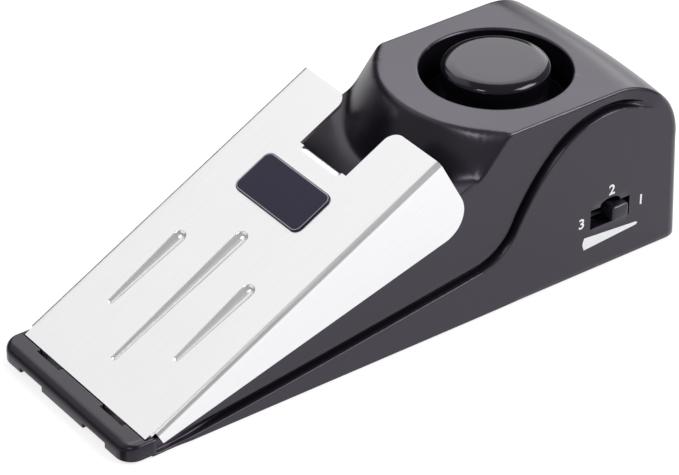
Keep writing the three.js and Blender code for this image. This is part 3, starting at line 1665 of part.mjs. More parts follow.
// The pieces, in the order in which they are put together.
place('upper_housing', upperHousing(), blackPlastic);
place('siren_cap', sirenCap(), blackPlastic);
place('piezo_disc', bar(piezoRadius, 0, sirenY, piezoTopZ - piezoThickness, piezoTopZ), brass);
place('piezo_ceramic', bar(ceramicRadius, 0, sirenY, ceramicTopZ - ceramicThickness, ceramicTopZ), ceramic);
place('piezo_retainer', piezoRetainer(), basePlastic);
bothSides((side) => {
  const name = side < 0 ? 'retainer_screw_left' : 'retainer_screw_right';
  const headZ = retainerTopZ - retainerThickness - seatGap - smallScrewHeadHeight;
  const screw = screwFromBelow(
    side * retainerEarX,
    sirenY,
    headZ,
    smallScrewHeadRadius,
    smallScrewHeadHeight,
    smallScrewRadius,
    retainerThickness + seatRingHeight,
  );
  place(name, screw, screwSteel);
});
place('sensitivity_switch', slideSwitch(1, sensitivityTravel), tinned);
place('sensitivity_knob', slideKnob(1, slotY + sensitivityTravel / 2), blackPlastic);
place('power_switch', slideSwitch(-1, powerTravel), tinned);
place('power_knob', slideKnob(-1, slotY + powerTravel / 2), blackPlastic);
place('plate_spring', plateSpring(), steel);
place('trigger_plunger', triggerPlunger(), basePlastic);
place('pressure_plate', pressurePlate(), steel, plateFrame);
place('plate_badge', plateBadge(), badgeBlack);
place('circuit_board', circuitBoard(), boardGreen);
place('contact_blade', contactBlade(), brass);
place('contact_foot', contactFoot(), brass);
place('contact_post', contactPost(), brass);
place('controller_chip', controllerChip(), chipBlack);
place('boost_coil', boostCoil(), chipBlack);
place('capacitor', capacitor(), batteryJacket);
place('drive_transistor', driveTransistor(), chipBlack);
place('vibration_sensor', vibrationSensor(), tinned);
boardScrewPlaces.forEach(([end, x, y]) => {
  const screw = screwFromAbove(
    x,
    y,
    boardTop + seatGap,
    smallScrewHeadRadius,
    smallScrewHeadHeight,
    smallScrewRadius,
    boardThickness + boardScrewLength / 2,
  );
  place(`board_screw_${end}`, screw, screwSteel);
});
leadRoutes.forEach(([name, finish, points]) => place(name, lead(points), finish));
place('base_cover', baseCover(), basePlastic);
place('grip_mat', gripMat(), rubber);
place('grip_strip_left', gripStrip(-1), rubber);
place('grip_strip_right', gripStrip(1), rubber);
screwPlaces.forEach(([corner, x, y]) => {
  const headZ = clearance / 2;
  const screw = screwFromBelow(x, y, headZ, screwHeadRadius, screwHeadHeight, screwRadius, screwLength);
  place(`base_screw_${corner}`, screw, screwSteel);
});
place('battery', batteryBlock(), batteryJacket);
place('battery_stud_positive', maleStud(), tinned);
place('battery_stud_negative', femaleStud(), tinned);
place('snap_connector', snapConnector(), basePlastic);
place('battery_foam', batteryFoam(), greyFoam);
place('battery_door', batteryDoor(), basePlastic);

export default doorStopAlarm;
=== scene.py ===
import math

import bmesh
import bpy
import numpy as np
from mathutils import Matrix


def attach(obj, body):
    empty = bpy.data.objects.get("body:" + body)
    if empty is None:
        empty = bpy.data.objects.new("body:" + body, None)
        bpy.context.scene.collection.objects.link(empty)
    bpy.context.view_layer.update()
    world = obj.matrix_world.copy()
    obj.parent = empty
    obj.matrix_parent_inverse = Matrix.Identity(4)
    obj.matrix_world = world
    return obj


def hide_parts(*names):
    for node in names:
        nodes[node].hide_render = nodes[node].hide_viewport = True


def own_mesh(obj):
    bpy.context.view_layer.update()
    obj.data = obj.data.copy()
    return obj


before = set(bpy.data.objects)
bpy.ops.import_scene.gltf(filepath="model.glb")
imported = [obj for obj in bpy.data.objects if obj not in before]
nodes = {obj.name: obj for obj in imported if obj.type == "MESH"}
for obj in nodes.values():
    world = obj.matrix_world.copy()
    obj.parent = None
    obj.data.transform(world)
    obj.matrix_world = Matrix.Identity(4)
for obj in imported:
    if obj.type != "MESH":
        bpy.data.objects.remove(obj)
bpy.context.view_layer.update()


# The view and the studio.
# A long lens looks down on the alarm's right side from the front. The alarm stands on a white table in a
# white room, between soft panels, with a dark card on its left for the steel to mirror.

def compass(azimuth_degrees, elevation_degrees):
    """Unit vectors across, over and out along a line of sight. Azimuth 0 is the alarm's front, 90 its right."""
    turn, rise = math.radians(azimuth_degrees), math.radians(elevation_degrees)
    out = np.array([math.sin(turn) * math.cos(rise), -math.cos(turn) * math.cos(rise), math.sin(rise)])
    across = np.array([math.cos(turn), math.sin(turn), 0.0])
    return across, np.cross(out, across), out


def standing(across, over, out, place):
    """A matrix that stands a thing at a place, with its three axes."""
    return Matrix([[across[i], over[i], out[i], place[i]] for i in range(3)] + [[0.0, 0.0, 0.0, 1.0]])


def in_scene(name, data):
    """A new object with its data, in the scene."""
    made = bpy.data.objects.new(name, data)
    bpy.context.scene.collection.objects.link(made)
    return made


def having(thing, **settings):
    """A thing with its settings made, in their order."""
    for name, value in settings.items():
        setattr(thing, name, value)
    return thing


camera_roll = math.radians(0.138)
camera_place = (0.51993, -0.38374, 0.44561)
level_right, level_up, back = compass(53.762, 33.729)
camera_right = math.cos(camera_roll) * level_right + math.sin(camera_roll) * level_up
camera_up = math.cos(camera_roll) * level_up - math.sin(camera_roll) * level_right
lens = having(bpy.data.cameras.new("studio_camera"),
              sensor_width=36.0, lens=195.26, clip_start=0.05, clip_end=20.0)
camera = in_scene("studio_camera", lens)
camera.matrix_world = standing(camera_right, camera_up, back, camera_place)
bpy.context.scene.camera = camera
bpy.context.scene.view_settings.view_transform = "Standard"


def mesh_object(name, points, faces, smooth=True):
    """A new object from an array of points in metres and an array of faces."""
    mesh = bpy.data.meshes.new(name)
    mesh.from_pydata(np.asarray(points, dtype=float).tolist(), [], np.asarray(faces, dtype=int).tolist())
    mesh.polygons.foreach_set("use_smooth", np.full(len(mesh.polygons), smooth))
    mesh.update()
    return in_scene(name, mesh)


def new_material(name):
    """A node material, its node tree and its Principled BSDF."""
    material = bpy.data.materials.new(name)
    material.use_nodes = True
    return material, material.node_tree, material.node_tree.nodes["Principled BSDF"]


def feed(node, fed):
    """Sets a node's inputs, each to a plain value or to what another node's socket gives."""
    for place, value in fed.items():
        if isinstance(value, bpy.types.NodeSocket):
            node.id_data.links.new(value, node.inputs[place])
        else:
            node.inputs[place].default_value = value
    return node


def shader(tree, kind, fed=None, **settings):
    """A new shader node with its settings and what its inputs are fed."""
    return feed(having(tree.nodes.new("ShaderNode" + kind), **settings), fed or {})


def worked(tree, operation, *values, clamp=False):
    """The result of a sum, a product or another operation on two or three values."""
    return shader(tree, "Math", dict(enumerate(values)), operation=operation, use_clamp=clamp).outputs[0]


def either(tree, choice, first, second):
    """The first shader where choice is 0 and the second where it is 1."""
    return shader(tree, "MixShader", {"Fac": choice, 1: first.outputs[0], 2: second.outputs[0]})


def emptied(owner):
    """The node tree of a material or a world, with its first nodes taken out."""
    owner.use_nodes = True
    owner.node_tree.nodes.clear()
    return owner.node_tree


# The table is lit like paper, but the camera and the steel see it as an even white. It can't be seen from
# below, so that the base can be looked at.
table_half, table_drop = 4.0, 2e-5
floor_corners = [[x, y, -table_drop] for x, y in np.array([[-1, -1], [1, -1], [1, 1], [-1, 1]]) * table_half]
floor = mesh_object("white_table", floor_corners, [[0, 1, 2, 3]])
white_table = bpy.data.materials.new("white_table")
tree = emptied(white_table)
ray = shader(tree, "LightPath")
seen_or_glossy = worked(tree, "MAXIMUM", ray.outputs["Is Camera Ray"], ray.outputs["Is Glossy Ray"])
lit = shader(tree, "BsdfDiffuse", {"Color": (0.62, 0.62, 0.62, 1)})
shaded = shader(tree, "BsdfDiffuse", {"Color": (0.3, 0.3, 0.31, 1)})
glow = shader(tree, "Emission", {"Color": (1, 1, 1, 1), "Strength": 0.78})
bright = shader(tree, "AddShader", {0: shaded.outputs[0], 1: glow.outputs[0]})
above = either(tree, seen_or_glossy, lit, bright)
below = shader(tree, "NewGeometry").outputs["Backfacing"]
one_sided = either(tree, below, above, shader(tree, "BsdfTransparent"))
shader(tree, "OutputMaterial", {"Surface": one_sided.outputs[0]})
floor.data.materials.append(white_table)

room = bpy.data.worlds.new("white_room")
bpy.context.scene.world = room
tree = emptied(room)
room_light = shader(tree, "Background", {"Color": (1, 1, 1, 1), "Strength": 0.34})
room_white = shader(tree, "Background", {"Color": (1, 1, 1, 1), "Strength": 1.0})
in_view = shader(tree, "LightPath").outputs["Is Camera Ray"]
shader(tree, "OutputWorld", {"Surface": either(tree, in_view, room_light, room_white).outputs[0]})

# The black card: out of the picture on the left, seen only by what mirrors it.
card_distance, card_width, card_foot, card_top = 0.45, 0.8, 0.001, 0.25
card_across, _, card_out = compass(262, 0)
card_corners = [
    [*(card_out * card_distance + side * card_across * card_width / 2)[:2], height]
    for side, height in ((1, card_foot), (-1, card_foot), (-1, card_top), (1, card_top))
]
card = mesh_object("card_left", card_corners, [[0, 1, 2, 3]], False)
card_black, _, surface = new_material("card_left_black")
feed(surface, {"Base Color": (0.01, 0.01, 0.012, 1), "Roughness": 0.9})
card.data.materials.append(card_black)
having(card, visible_camera=False, visible_shadow=False, visible_diffuse=False)

# The soft panels: azimuth and elevation in degrees, then distance, width, height in metres and power in watts.
panel_aim = np.array([0.0, 0.0, 0.02])
for name, azimuth, elevation, distance, width, height, power in (
    ("panel_behind", 230, 31, 1.1, 1.1, 1.0, 8.0),
    ("panel_left", 298, 46, 1.0, 0.8, 0.7, 1.28),
    ("panel_front", 17, 50, 1.1, 0.22, 0.22, 1.8),
    ("panel_right", 130, 42, 1.1, 0.6, 0.5, 9.0),
):
    across, over, out = compass(azimuth, elevation)
    panel = having(bpy.data.lights.new(name, "AREA"),
                   shape="RECTANGLE", size=width, size_y=height, energy=power)
    in_scene(name, panel).matrix_world = standing(across, over, out, out * distance + panel_aim)


# The upper housing: one injection moulding in black ABS, 2 mm thick, with a round tower for the siren.
# It is moulded with soft corners: crisp along the deck's round front and sides, and growing down the rear.
# The base cover is screwed up into it.

def own_place(tree):
    """The place on the piece, in its own coordinates."""
    return shader(tree, "TexCoord").outputs["Object"]


def noise(tree, place, scale, detail, distortion=0.0):
    """Soft noise between 0 and 1."""
    fed = {"Vector": place, "Scale": scale, "Detail": detail, "Distortion": distortion}
    return shader(tree, "TexNoise", fed).outputs["Fac"]


def blended(tree, first, second, share):
    """A colour between two, by a share that another node gives."""
    mix = shader(tree, "Mix", data_type="RGBA")
    return feed(mix, {"A": (*first, 1), "B": (*second, 1), "Factor": share}).outputs["Result"]


def graded(tree, value, low, high, start=0.0, stop=1.0):
    """A value carried from the range start to stop over to the range low to high, and held at its ends."""
    fed = {"Value": value, "From Min": start, "From Max": stop, "To Min": low, "To Max": high}
    return shader(tree, "MapRange", fed).outputs["Result"]


def raised(tree, height, strength, distance):
    """The normal of a surface with a height on it."""
    fed = {"Height": height, "Strength": strength, "Distance": distance}
    return shader(tree, "Bump", fed).outputs["Normal"]


def new_group(name, given, made):
    """A node group with number inputs and their values, and number outputs: what goes in, and its exit."""
    group = bpy.data.node_groups.new(name, "ShaderNodeTree")
    for label, value in given.items():
        socket = group.interface.new_socket(name=label, in_out="INPUT", socket_type="NodeSocketFloat")
        socket.default_value = value
    for label in made:
        group.interface.new_socket(name=label, in_out="OUTPUT", socket_type="NodeSocketFloat")
    return group, group.nodes.new("NodeGroupInput").outputs, group.nodes.new("NodeGroupOutput")


def moulded_grain():
    """The fine grain that a spark-finished mould leaves, and the slow waviness of a wide moulded wall."""
    group, given, leave = new_group("moulded_grain", {
        "Grain Size": 3000.0, "Grain Depth": 0.5, "Gloss": 0.35, "Gloss Change": 0.06,
    }, ("Height", "Roughness"))
    place = own_place(group)
    fine = noise(group, place, given["Grain Size"], 2.0)
    slow = worked(group, "SUBTRACT", noise(group, place, 38.0, 3.0), 0.5)
    feed(leave, {
        "Height": worked(group, "MULTIPLY", fine, given["Grain Depth"]),
        "Roughness": worked(group, "MULTIPLY_ADD", slow, given["Gloss Change"], given["Gloss"]),
    })
    return group


def edge_wear_and_highlight():
    """Paler sharp edges, partly wear from handling and partly a painted highlight: a mask from the surface's
    own sharpness, broken up by noise.
    """
    group, given, leave = new_group("edge_wear_and_highlight", {"Start": 0.52, "Reach": 0.06, "Patch Size": 220.0}, ("Mask",))
    sharpness = shader(group, "NewGeometry").outputs["Pointiness"]
    over = worked(group, "SUBTRACT", sharpness, given["Start"])
    reached = worked(group, "DIVIDE", over, given["Reach"], clamp=True)
    patches = noise(group, own_place(group), given["Patch Size"], 4.0)
    feed(leave, {"Mask": worked(group, "MULTIPLY", reached, patches, clamp=True)})
    return group


grain_group = moulded_grain()
edge_wear_and_highlight_group = edge_wear_and_highlight()


def plastic(name, colour, edge_wear_and_highlight_colour, gloss, grain_size=3000.0, grain_depth=0.5, bump=0.06, gloss_change=0.08,
            shine=None):
    """Moulded plastic: its colour, a lighter colour along sharp edges that is partly wear and partly a painted
    highlight, its gloss, its mould grain and, where the shine isn't plain, what the surface is fed for it."""
    material, tree, surface = new_material(name)
    grain = feed(shader(tree, "Group", node_tree=grain_group), {
        "Grain Size": grain_size, "Grain Depth": grain_depth, "Gloss": gloss, "Gloss Change": gloss_change,
    })
    # Paler sharp edges: partly wear, partly a painted highlight.
    paler_edge = shader(tree, "Group", node_tree=edge_wear_and_highlight_group)
    feed(surface, {
        "Base Color": blended(tree, colour, edge_wear_and_highlight_colour, paler_edge.outputs["Mask"]),
        "Roughness": grain.outputs["Roughness"],
        "Normal": raised(tree, grain.outputs["Height"], bump, 0.0002),
        **(shine or {}),
    })
    return material


violet_shine = {"Specular Tint": (0.92, 0.80, 1.0, 1)}
black_abs = plastic("black_abs", (0.0055, 0.0045, 0.0075), (0.07, 0.065, 0.075), 0.29, shine=violet_shine)
black_tree = black_abs.node_tree
# Painted shade: the housing shines less where its recess mark is set, so the siren's well and the groove look
# shaded, and the nose darker.
painted_recess_shade = shader(black_tree, "Attribute", attribute_name="recess").outputs["Fac"]
feed(black_tree.nodes["Principled BSDF"], {"Specular IOR Level": graded(black_tree, painted_recess_shade, 0.64, 0.04)})


def grid_faces(rows, columns, kept=None):
    """Faces of a grid of points, row by row, with the cells that kept leaves out missing."""
    row, column = np.meshgrid(np.arange(rows - 1), np.arange(columns - 1), indexing="ij")
    corner = row * columns + column
    faces = np.stack([corner, corner + 1, corner + columns + 1, corner + columns], axis=-1)
    return faces.reshape(-1, 4) if kept is None else faces[kept]


def as_part(grid):
    """A grid of points as a list of points and its faces."""
    return grid.reshape(-1, 3), grid_faces(*grid.shape[:2])


def together(*arrays):
    """Arrays of x, y and z, or of two measures, spread to one shape, as points."""
    return np.stack(np.broadcast_arrays(*arrays), axis=-1)


def gathered(parts):
    """Several lists of points and faces as one."""
    starts = np.cumsum([0] + [len(points) for points, _ in parts])
    points = np.concatenate([points for points, _ in parts])
    faces = np.concatenate([faces + start for (_, faces), start in zip(parts, starts)])
    return points, faces


def closed(piece, seam=1e-6, crisp=None, filled=False):
    """A piece with the points that lie on one another joined, its holes filled where that is asked, every
    face turned outwards, and the edges that turn by more than crisp degrees kept sharp."""
    work = bmesh.new()
    work.from_mesh(piece.data)
    bmesh.ops.remove_doubles(work, verts=work.verts, dist=seam)
    if filled:
        bmesh.ops.holes_fill(work, edges=work.edges, sides=0)
    bmesh.ops.recalc_face_normals(work, faces=work.faces)
    work.to_mesh(piece.data)
    work.free()
    if crisp:
        piece.data.set_sharp_from_angle(angle=math.radians(crisp))
    return piece


def piece_of(name, parts, material, smooth=True):
    """An object from lists of points, in millimetres, and faces, with its material."""
    points, faces = gathered(parts)
    piece = mesh_object(name, points / 1000, faces, smooth)
    piece.data.materials.append(material)
    return piece


def points_of(mesh):
    """The places of a mesh's points."""
    points = np.empty(len(mesh.vertices) * 3)
    mesh.vertices.foreach_get("co", points)
    return points.reshape(-1, 3)


def marked(piece, name, values):
    """Gives each point of a piece a value that its material reads by name."""
    share = piece.data.attributes.new(name, "FLOAT", "POINT")
    share.data.foreach_set("value", values.astype(np.float32))


# Its sizes in millimetres, from its own foot, which the rubber holds housing_lift over the table. The tower
# and the siren stand at (across, along), the rear's arc and the fan's axis at (along, height).
housing_lift = 0.4
deck_z = 42.0
ramp_start, ramp_foot, ramp_angle = -66.3, 2.4, math.radians(20.67)
ramp_blend, deck_blend = 1.6, 0.9
tower = (0.0, 42.55)
tower_radius = 29.05
flare_reach = 0.6
rear_arc = (54.7, 25.2)
rear_radius, rear_bow, rear_lean = 16.8, 1.6, 1.1
wall_x, cheek_x, inner_x = 22.8, 24.0, 20.8
cheek_flare, cheek_flare_span, wall_end_span = 0.2, (-60.0, -57.0), (55.0, 68.0)
edge_inset = 0.6
groove_cut, groove_start_span, groove_end_span = 0.95, (-60, -46), (53, 66)
siren = (0.0, 38.24)
well_radius, lip_round = 16.35, 0.7
hole_half = well_radius + lip_round
fan_axis = (57.2, 25.2)
slot_span = (45.925, 56.675)
slot_heights = (10.62, 15.47)
arch_middle, arch_half, arch_rise = 51.3, 2.8, 1.5
foot_inset, rim_height, rim_slope = 0.25, 9.0, 0.3773
level_share, level_under, level_least = 0.88, 0.45, 0.05


def smooth_step(value, low, high):
    """0 below low, 1 above high, and three squares less two cubes of the share between them."""
    share = np.clip((value - low) / (high - low), 0, 1)
    return share * share * (3 - 2 * share)


def rounded_least(a, b, reach):
    """The smaller of two heights, with the corner between them rounded over a reach."""
    near = np.maximum(reach - np.abs(a - b), 0) / reach
    return np.minimum(a, b) - near * near * reach / 4


def bezier(controls, steps=60):
    """A curve with two, three or four control points, sampled evenly in its own parameter."""
    share = np.linspace(0, 1, steps)[:, None]
    points = [np.asarray(control, dtype=float)[None, :] + 0 * share for control in controls]
    while len(points) > 1:
        points = [first * (1 - share) + second * share for first, second in zip(points[:-1], points[1:])]
    return points[0]


cheek_line = np.concatenate([
    bezier([(-64.585, 0.336), (-54.01, 0.588), (15.696, 11.004)], 120),
    bezier([(15.696, 11.004), (22.346, 12.138), (25.70, 17.598)])[1:],
    bezier([(25.70, 17.598), (29.897, 25.599), (37.389, 38.501), (50.791, 38.501)], 120)[1:],
    bezier([(50.791, 38.501), (57.398, 38.501), (68.495, 31.926)])[1:],
    [[74.0, 28.66]],
])
cheek_slope = np.gradient(cheek_line[:, 1], cheek_line[:, 0])


def cheek_height(y):
    """Height of the cheek's top line at a place along the body."""
    return np.interp(y, cheek_line[:, 0], cheek_line[:, 1])


def top_height(x, y):
    """Height of the top: the ramp, the flared round front of the tower and the flat deck, each rounded
    into the next. The flare gains one in height for flare_reach in reach."""
    ramp = ramp_foot + (y - ramp_start) * math.tan(ramp_angle)
    reach = np.where(y < tower[1], np.hypot(x, y - tower[1]), np.abs(x))
    flare = deck_z - (reach - tower_radius) / flare_reach
    rising = -rounded_least(-ramp, -flare, ramp_blend)
    return rounded_least(np.full_like(rising, deck_z), rising, deck_blend)


arc_end = rear_arc[0] + rear_radius * math.pi / 2


def bow(x, t):
    """How far the bowed rear draws a side forward: by the square of its distance from the middle line."""
    return rear_bow * (x / cheek_x) ** 2 * np.clip((t - tower[1]) / (rear_arc[0] - tower[1]), 0, 1)


def top_place(x, t, held=1.0):
    """Place (along, height) of the top at a distance t along the middle line, which runs over the deck,
    round the rear and down the rear wall. Held is the share of the bow that is taken up there."""
    turn = np.clip((t - rear_arc[0]) / rear_radius, 0, math.pi / 2)
    down = np.maximum(t - arc_end, 0)
    behind_y = rear_arc[0] + rear_radius * np.sin(turn) + rear_lean * down / rear_arc[1]
    behind_z = rear_arc[1] + rear_radius * np.cos(turn) - down
    on_deck = t < rear_arc[0]
    y = np.where(on_deck, t, behind_y)
    z = np.where(on_deck, top_height(x, np.minimum(t, rear_arc[0])), behind_z)
    return y - bow(x, t) * held, z


def wall_level(t):
    """Half the width above the cheek: it runs out to the cheek's own level round the rear."""
    return wall_x + (cheek_x - wall_x) * smooth_step(t, *wall_end_span)


def cheek_level(t):
    """Half the width over the cheek, which widens a little behind the nose."""
    return cheek_x - cheek_flare * (1 - smooth_step(t, *cheek_flare_span))


def corner_round(t):
    """Radius of the edge between the top and the side."""
    places = [ramp_start, 8, 22, 55, 68, arc_end, arc_end + rear_arc[1]]
    return np.interp(t, places, [0.5, 0.5, 0.6, 0.6, 0.9, 2.2, 2.7])


def split_height(y):
    """Height below which the side's rows are level: as high as the fan's axis, or less under a low cheek."""
    return np.minimum(rear_arc[1], level_share * np.maximum(cheek_height(y) - level_under, level_least))


# Stations along the body. Those beside a side opening stand on its ends and on its arch, and one stands
# beside the well's rear edge. From y 41 on, each is carried to where the bowed side has that place.
side_y = np.unique(np.round(np.concatenate([
    np.linspace(ramp_start, 2, 58), np.linspace(2, 44.5, 107), slot_span, [45.2, fan_axis[0], 53.856],
    arch_middle + arch_half * np.sin(np.radians(np.linspace(-90, 90, 15))),
    np.linspace(46.6, 48.0, 3), np.linspace(54.7, 56.1, 3),
]), 4))
tried_t = np.linspace(40, 62, 4000)
on_arc = rear_arc[0] + rear_radius * np.sin((tried_t - rear_arc[0]) / rear_radius)
tried_y = np.where(tried_t > rear_arc[0], on_arc, tried_t) - bow(wall_x, tried_t)
front_t = np.where(side_y < 41, side_y, np.interp(side_y, tried_y, tried_t))
hole_rows = [int(np.argmin(np.abs(front_t - (siren[1] + sign * hole_half)))) for sign in (-1, 1)]
front_t[hole_rows[0]], front_t[hole_rows[1]] = siren[1] - hole_half, siren[1] + hole_half
low_rows = np.array([
    25.2, 23.6, 22.0, 20.5, 19.2, 18.2, 17.4, slot_heights[1], 14.3, 13.0, 11.8, slot_heights[0],
    9.2, 7.4, 5.4, 3.4, 1.6, 0.35, 0.0,
])
fan_t = np.linspace(front_t[-1], arc_end, 42)
back_t = np.concatenate([fan_t, arc_end + (rear_arc[1] - low_rows[1:])])

# Columns: across the top, round the edge, down the upper wall, over the groove, and down the cheek.
top_x = np.concatenate([np.linspace(0, hole_half, 32), np.linspace(hole_half, wall_x - edge_inset, 11)[1:]])
hole_column = 31
edge_turn = np.linspace(0, math.pi / 2, 8)[1:]
groove_q = np.array([1.5, 1.36, 1.24, 1.08, 0.88, 0.64, 0.42, 0.24, 0.12, 0.03, -0.05, -0.15, -0.28, -0.42])
groove_fall = np.array([0, 0.08, 0.35, 0.78, 0.98, 1.0, 0.99, 0.92, 0.75, 0.5, 0.3, 0.1, 0, 0])
groove_rise = np.array([0, 0, 0, 0, 0, 0, 0, 0.03, 0.15, 0.5, 0.78, 0.92, 0.98, 1.0])
groove_room, least_square = 0.85, 0.3
rear_met, rear_met_run = 2.4, 6
round_until, bow_from = 22.19, 22.0


def top_band(t, level, radius):
    """Points across the top. Round the well the grid's squares are drawn into circles by the ratio of the
    larger coordinate to the distance, fading out to the deck's side."""
    u, v = top_x[None, :] + 0 * t, t - siren[1] + 0 * top_x[None, :]
    size = np.maximum(np.abs(u), np.abs(v))
    pull = np.clip((round_until - size) / (round_until - hole_half), 0, 1)
    around = size / np.maximum(np.hypot(u, v), 1e-9)
    u, v = u * (1 - pull + pull * around), v * (1 - pull + pull * around)
    held = np.clip((size - hole_half) / (bow_from - hole_half), 0, 1)
    across = u * (level - radius) / (wall_x - edge_inset)
    return np.stack([across, *top_place(across, v + siren[1], held)], axis=-1)


def half_skin(t, anchor):
    """Points of the right half at stations t. Each station runs across the top, round the edge, and then
    straight down the side in side view to its anchor, with the groove and the cheek's edge laid where
    that line meets the cheek's top line."""
    t = t[:, None]
    level, radius = wall_level(t), corner_round(t)
    outline_y, outline_z = top_place(level, t)
    fall_y, fall_z = anchor[0][:, None] - outline_y, anchor[1][:, None] - outline_z
    run = np.hypot(fall_y, fall_z)
    fall_y, fall_z = fall_y / run, fall_z / run
    edge_x = level - radius + radius * np.sin(edge_turn)
    edge_y, edge_z = top_place(edge_x, t)
    edge_y = edge_y + fall_y * radius * (1 - np.cos(edge_turn))
    edge_z = edge_z + fall_z * radius * (1 - np.cos(edge_turn))
    start_y, start_z = edge_y[:, -1:], edge_z[:, -1:]
    length = run - radius

    # Where the side meets the cheek's top line, and how squarely. Behind the deck that is at least rear_met
    # down the side, or less where the side is shorter than rear_met_run.
    share = np.linspace(0, 1, 600)[None, :]
    over = start_z + fall_z * length * share - cheek_height(start_y + fall_y * length * share)
    met = share[0, np.argmax(over < 0, axis=1)[:, None]] * length
    slope = np.interp(start_y + fall_y * met, cheek_line[:, 0], cheek_slope)
    square = np.abs(fall_z - slope * fall_y) / np.hypot(1, slope)
    stretch = 1 / np.maximum(square, least_square)
    met = np.where(t > rear_arc[0], np.maximum(met, rear_met * np.minimum(1, length / rear_met_run)), met)

    # The groove's own rows, and the rows above and below it. It takes up groove_room of the upper wall at
    # most, and fades out towards the nose and the rear.
    fit = np.minimum(1, groove_room * met / (groove_q[0] * stretch))
    groove_at = met - groove_q * stretch * np.where(groove_q > 0, fit, np.minimum(1, fit * 2))
    fade = smooth_step(t, *groove_start_span) * (1 - smooth_step(t, *groove_end_span))
    groove_x = (level - groove_cut * fade * groove_fall) * (1 - groove_rise) + cheek_level(t) * groove_rise
    upper_at = groove_at[:, :1] * np.linspace(0, 1, 8)[None, 1:-1]
    stop = length if anchor[1].max() > 0 else length - split_height(start_y)
    lower_at = groove_at[:, -1:] + (stop - groove_at[:, -1:]) * np.linspace(0, 1, 9)[None, 1:]
    at = np.concatenate([upper_at, groove_at, lower_at], axis=1)
    side_x = np.concatenate([level + 0 * upper_at, groove_x, cheek_level(t) + 0 * lower_at], axis=1)
    side = np.stack([side_x, start_y + fall_y * at, start_z + fall_z * at], axis=-1)
    edge = np.stack([edge_x + 0 * t, edge_y, edge_z], axis=-1)
    return np.concatenate([top_band(t, level, radius), edge, side], axis=1)


# The front part ends in level rows down the side and a rim turned in under it. The rear part fans out
# round its axis and then runs down the rear wall.
front = half_skin(front_t, (side_y, np.zeros(len(side_y))))
rows_z = low_rows[None, 1:] * split_height(side_y)[:, None] / rear_arc[1]
arch = arch_rise * np.sqrt(np.maximum(1 - ((side_y - arch_middle) / arch_half) ** 2, 0))
slot_top_row, slot_low_row = (int(np.argmin(np.abs(low_rows - height))) - 1 for height in slot_heights[::-1])
rows_z[:, slot_top_row] += arch * (side_y > 40)
rows_x = cheek_level(side_y)[:, None] - np.where(low_rows[1:] <= 0, foot_inset, 0)[None, :]
low_side = together(rows_x, side_y[:, None], rows_z)
rim_x = np.minimum(inner_x, cheek_level(side_y))
rim_top = np.clip(rim_slope * (side_y - ramp_start), 0.6, rim_height)
rim = np.stack([together(rim_x, side_y, reached) for reached in (np.zeros(len(side_y)), rim_top)], axis=1)
front = np.concatenate([front, low_side, rim], axis=1)
anchor_z = np.concatenate([np.full(len(fan_t), rear_arc[1]), low_rows[1:]])
rear = half_skin(back_t, (np.full(len(back_t), fan_axis[0]), anchor_z))
foot = rear[-1]
foot[:, :2] -= foot_inset * np.stack([foot[:, 0] > 21, foot[:, 1] > 68], axis=-1)
inner = np.stack([np.minimum(foot[:, 0], inner_x), np.minimum(foot[:, 1], 67.9), foot[:, 2]], axis=-1)
rear = np.concatenate([rear, inner[None], (inner + [0, 0, rim_height])[None]], axis=0)

station, column = np.arange(len(front_t) - 1)[:, None], np.arange(front.shape[1] - 1)[None, :]
in_well = (station >= hole_rows[0]) & (station < hole_rows[1]) & (column < hole_column)
first_low = front.shape[1] - rim.shape[1] - low_side.shape[1]
slot_ends = [int(np.argmin(np.abs(side_y - end))) for end in slot_span]
in_slot = ((station >= slot_ends[0]) & (station < slot_ends[1])
           & (column >= first_low + slot_top_row) & (column < first_low + slot_low_row))
front_part = (front.reshape(-1, 3), grid_faces(*front.shape[:2], ~(in_well | in_slot)))


def arc(centre, radius, start_degrees, stop_degrees, steps):
    """Points on a circle from one angle to another."""
    angle = np.radians(np.linspace(start_degrees, stop_degrees, steps + 1))
    return np.stack([centre[0] + radius * np.cos(angle), centre[1] + radius * np.sin(angle)], axis=-1)


# The well: its lip, wall and floor hang on the ring of points that the deck leaves round the opening.
ring = np.concatenate([
    front[hole_rows[0], :hole_column + 1], front[hole_rows[0] + 1:hole_rows[1] + 1, hole_column],
    front[hole_rows[1], :hole_column][::-1],
])
angle = np.arctan2(ring[:, 1] - siren[1], ring[:, 0] - siren[0])[:, None]
well_r, well_z = np.concatenate([
    arc((hole_half, deck_z - lip_round), lip_round, 90, 180, 6)[1:],
    [[16.3, 38.0], [16.25, 33.4], [16.1, 33.12], [15.8, 33.0]],
    [[12.0, 33.0], [7.2, 33.0], [7.0, 32.8], [7.0, 31.0]],
]).T
well = together(siren[0] + well_r * np.cos(angle), siren[1] + well_r * np.sin(angle), well_z)
well_part = as_part(np.concatenate([ring[:, None, :], well], axis=1))

# A side opening's own walls: its outline carried inwards.
along = side_y[slot_ends[0]:slot_ends[1] + 1]
upper = slot_heights[1] + arch[slot_ends[0]:slot_ends[1] + 1]
loop = np.concatenate([
    np.stack([along, upper], axis=-1), np.stack([along, np.full(len(along), slot_heights[0])], axis=-1)[::-1],
    [[along[0], upper[0]]],
])
depths = np.array([cheek_x, cheek_x - 0.4, 22.4, inner_x])
lining = together(depths[None, :], loop[:, :1], loop[:, 1:])
lining_part = (lining.reshape(-1, 3), grid_faces(*lining.shape[:2])[:, ::-1])

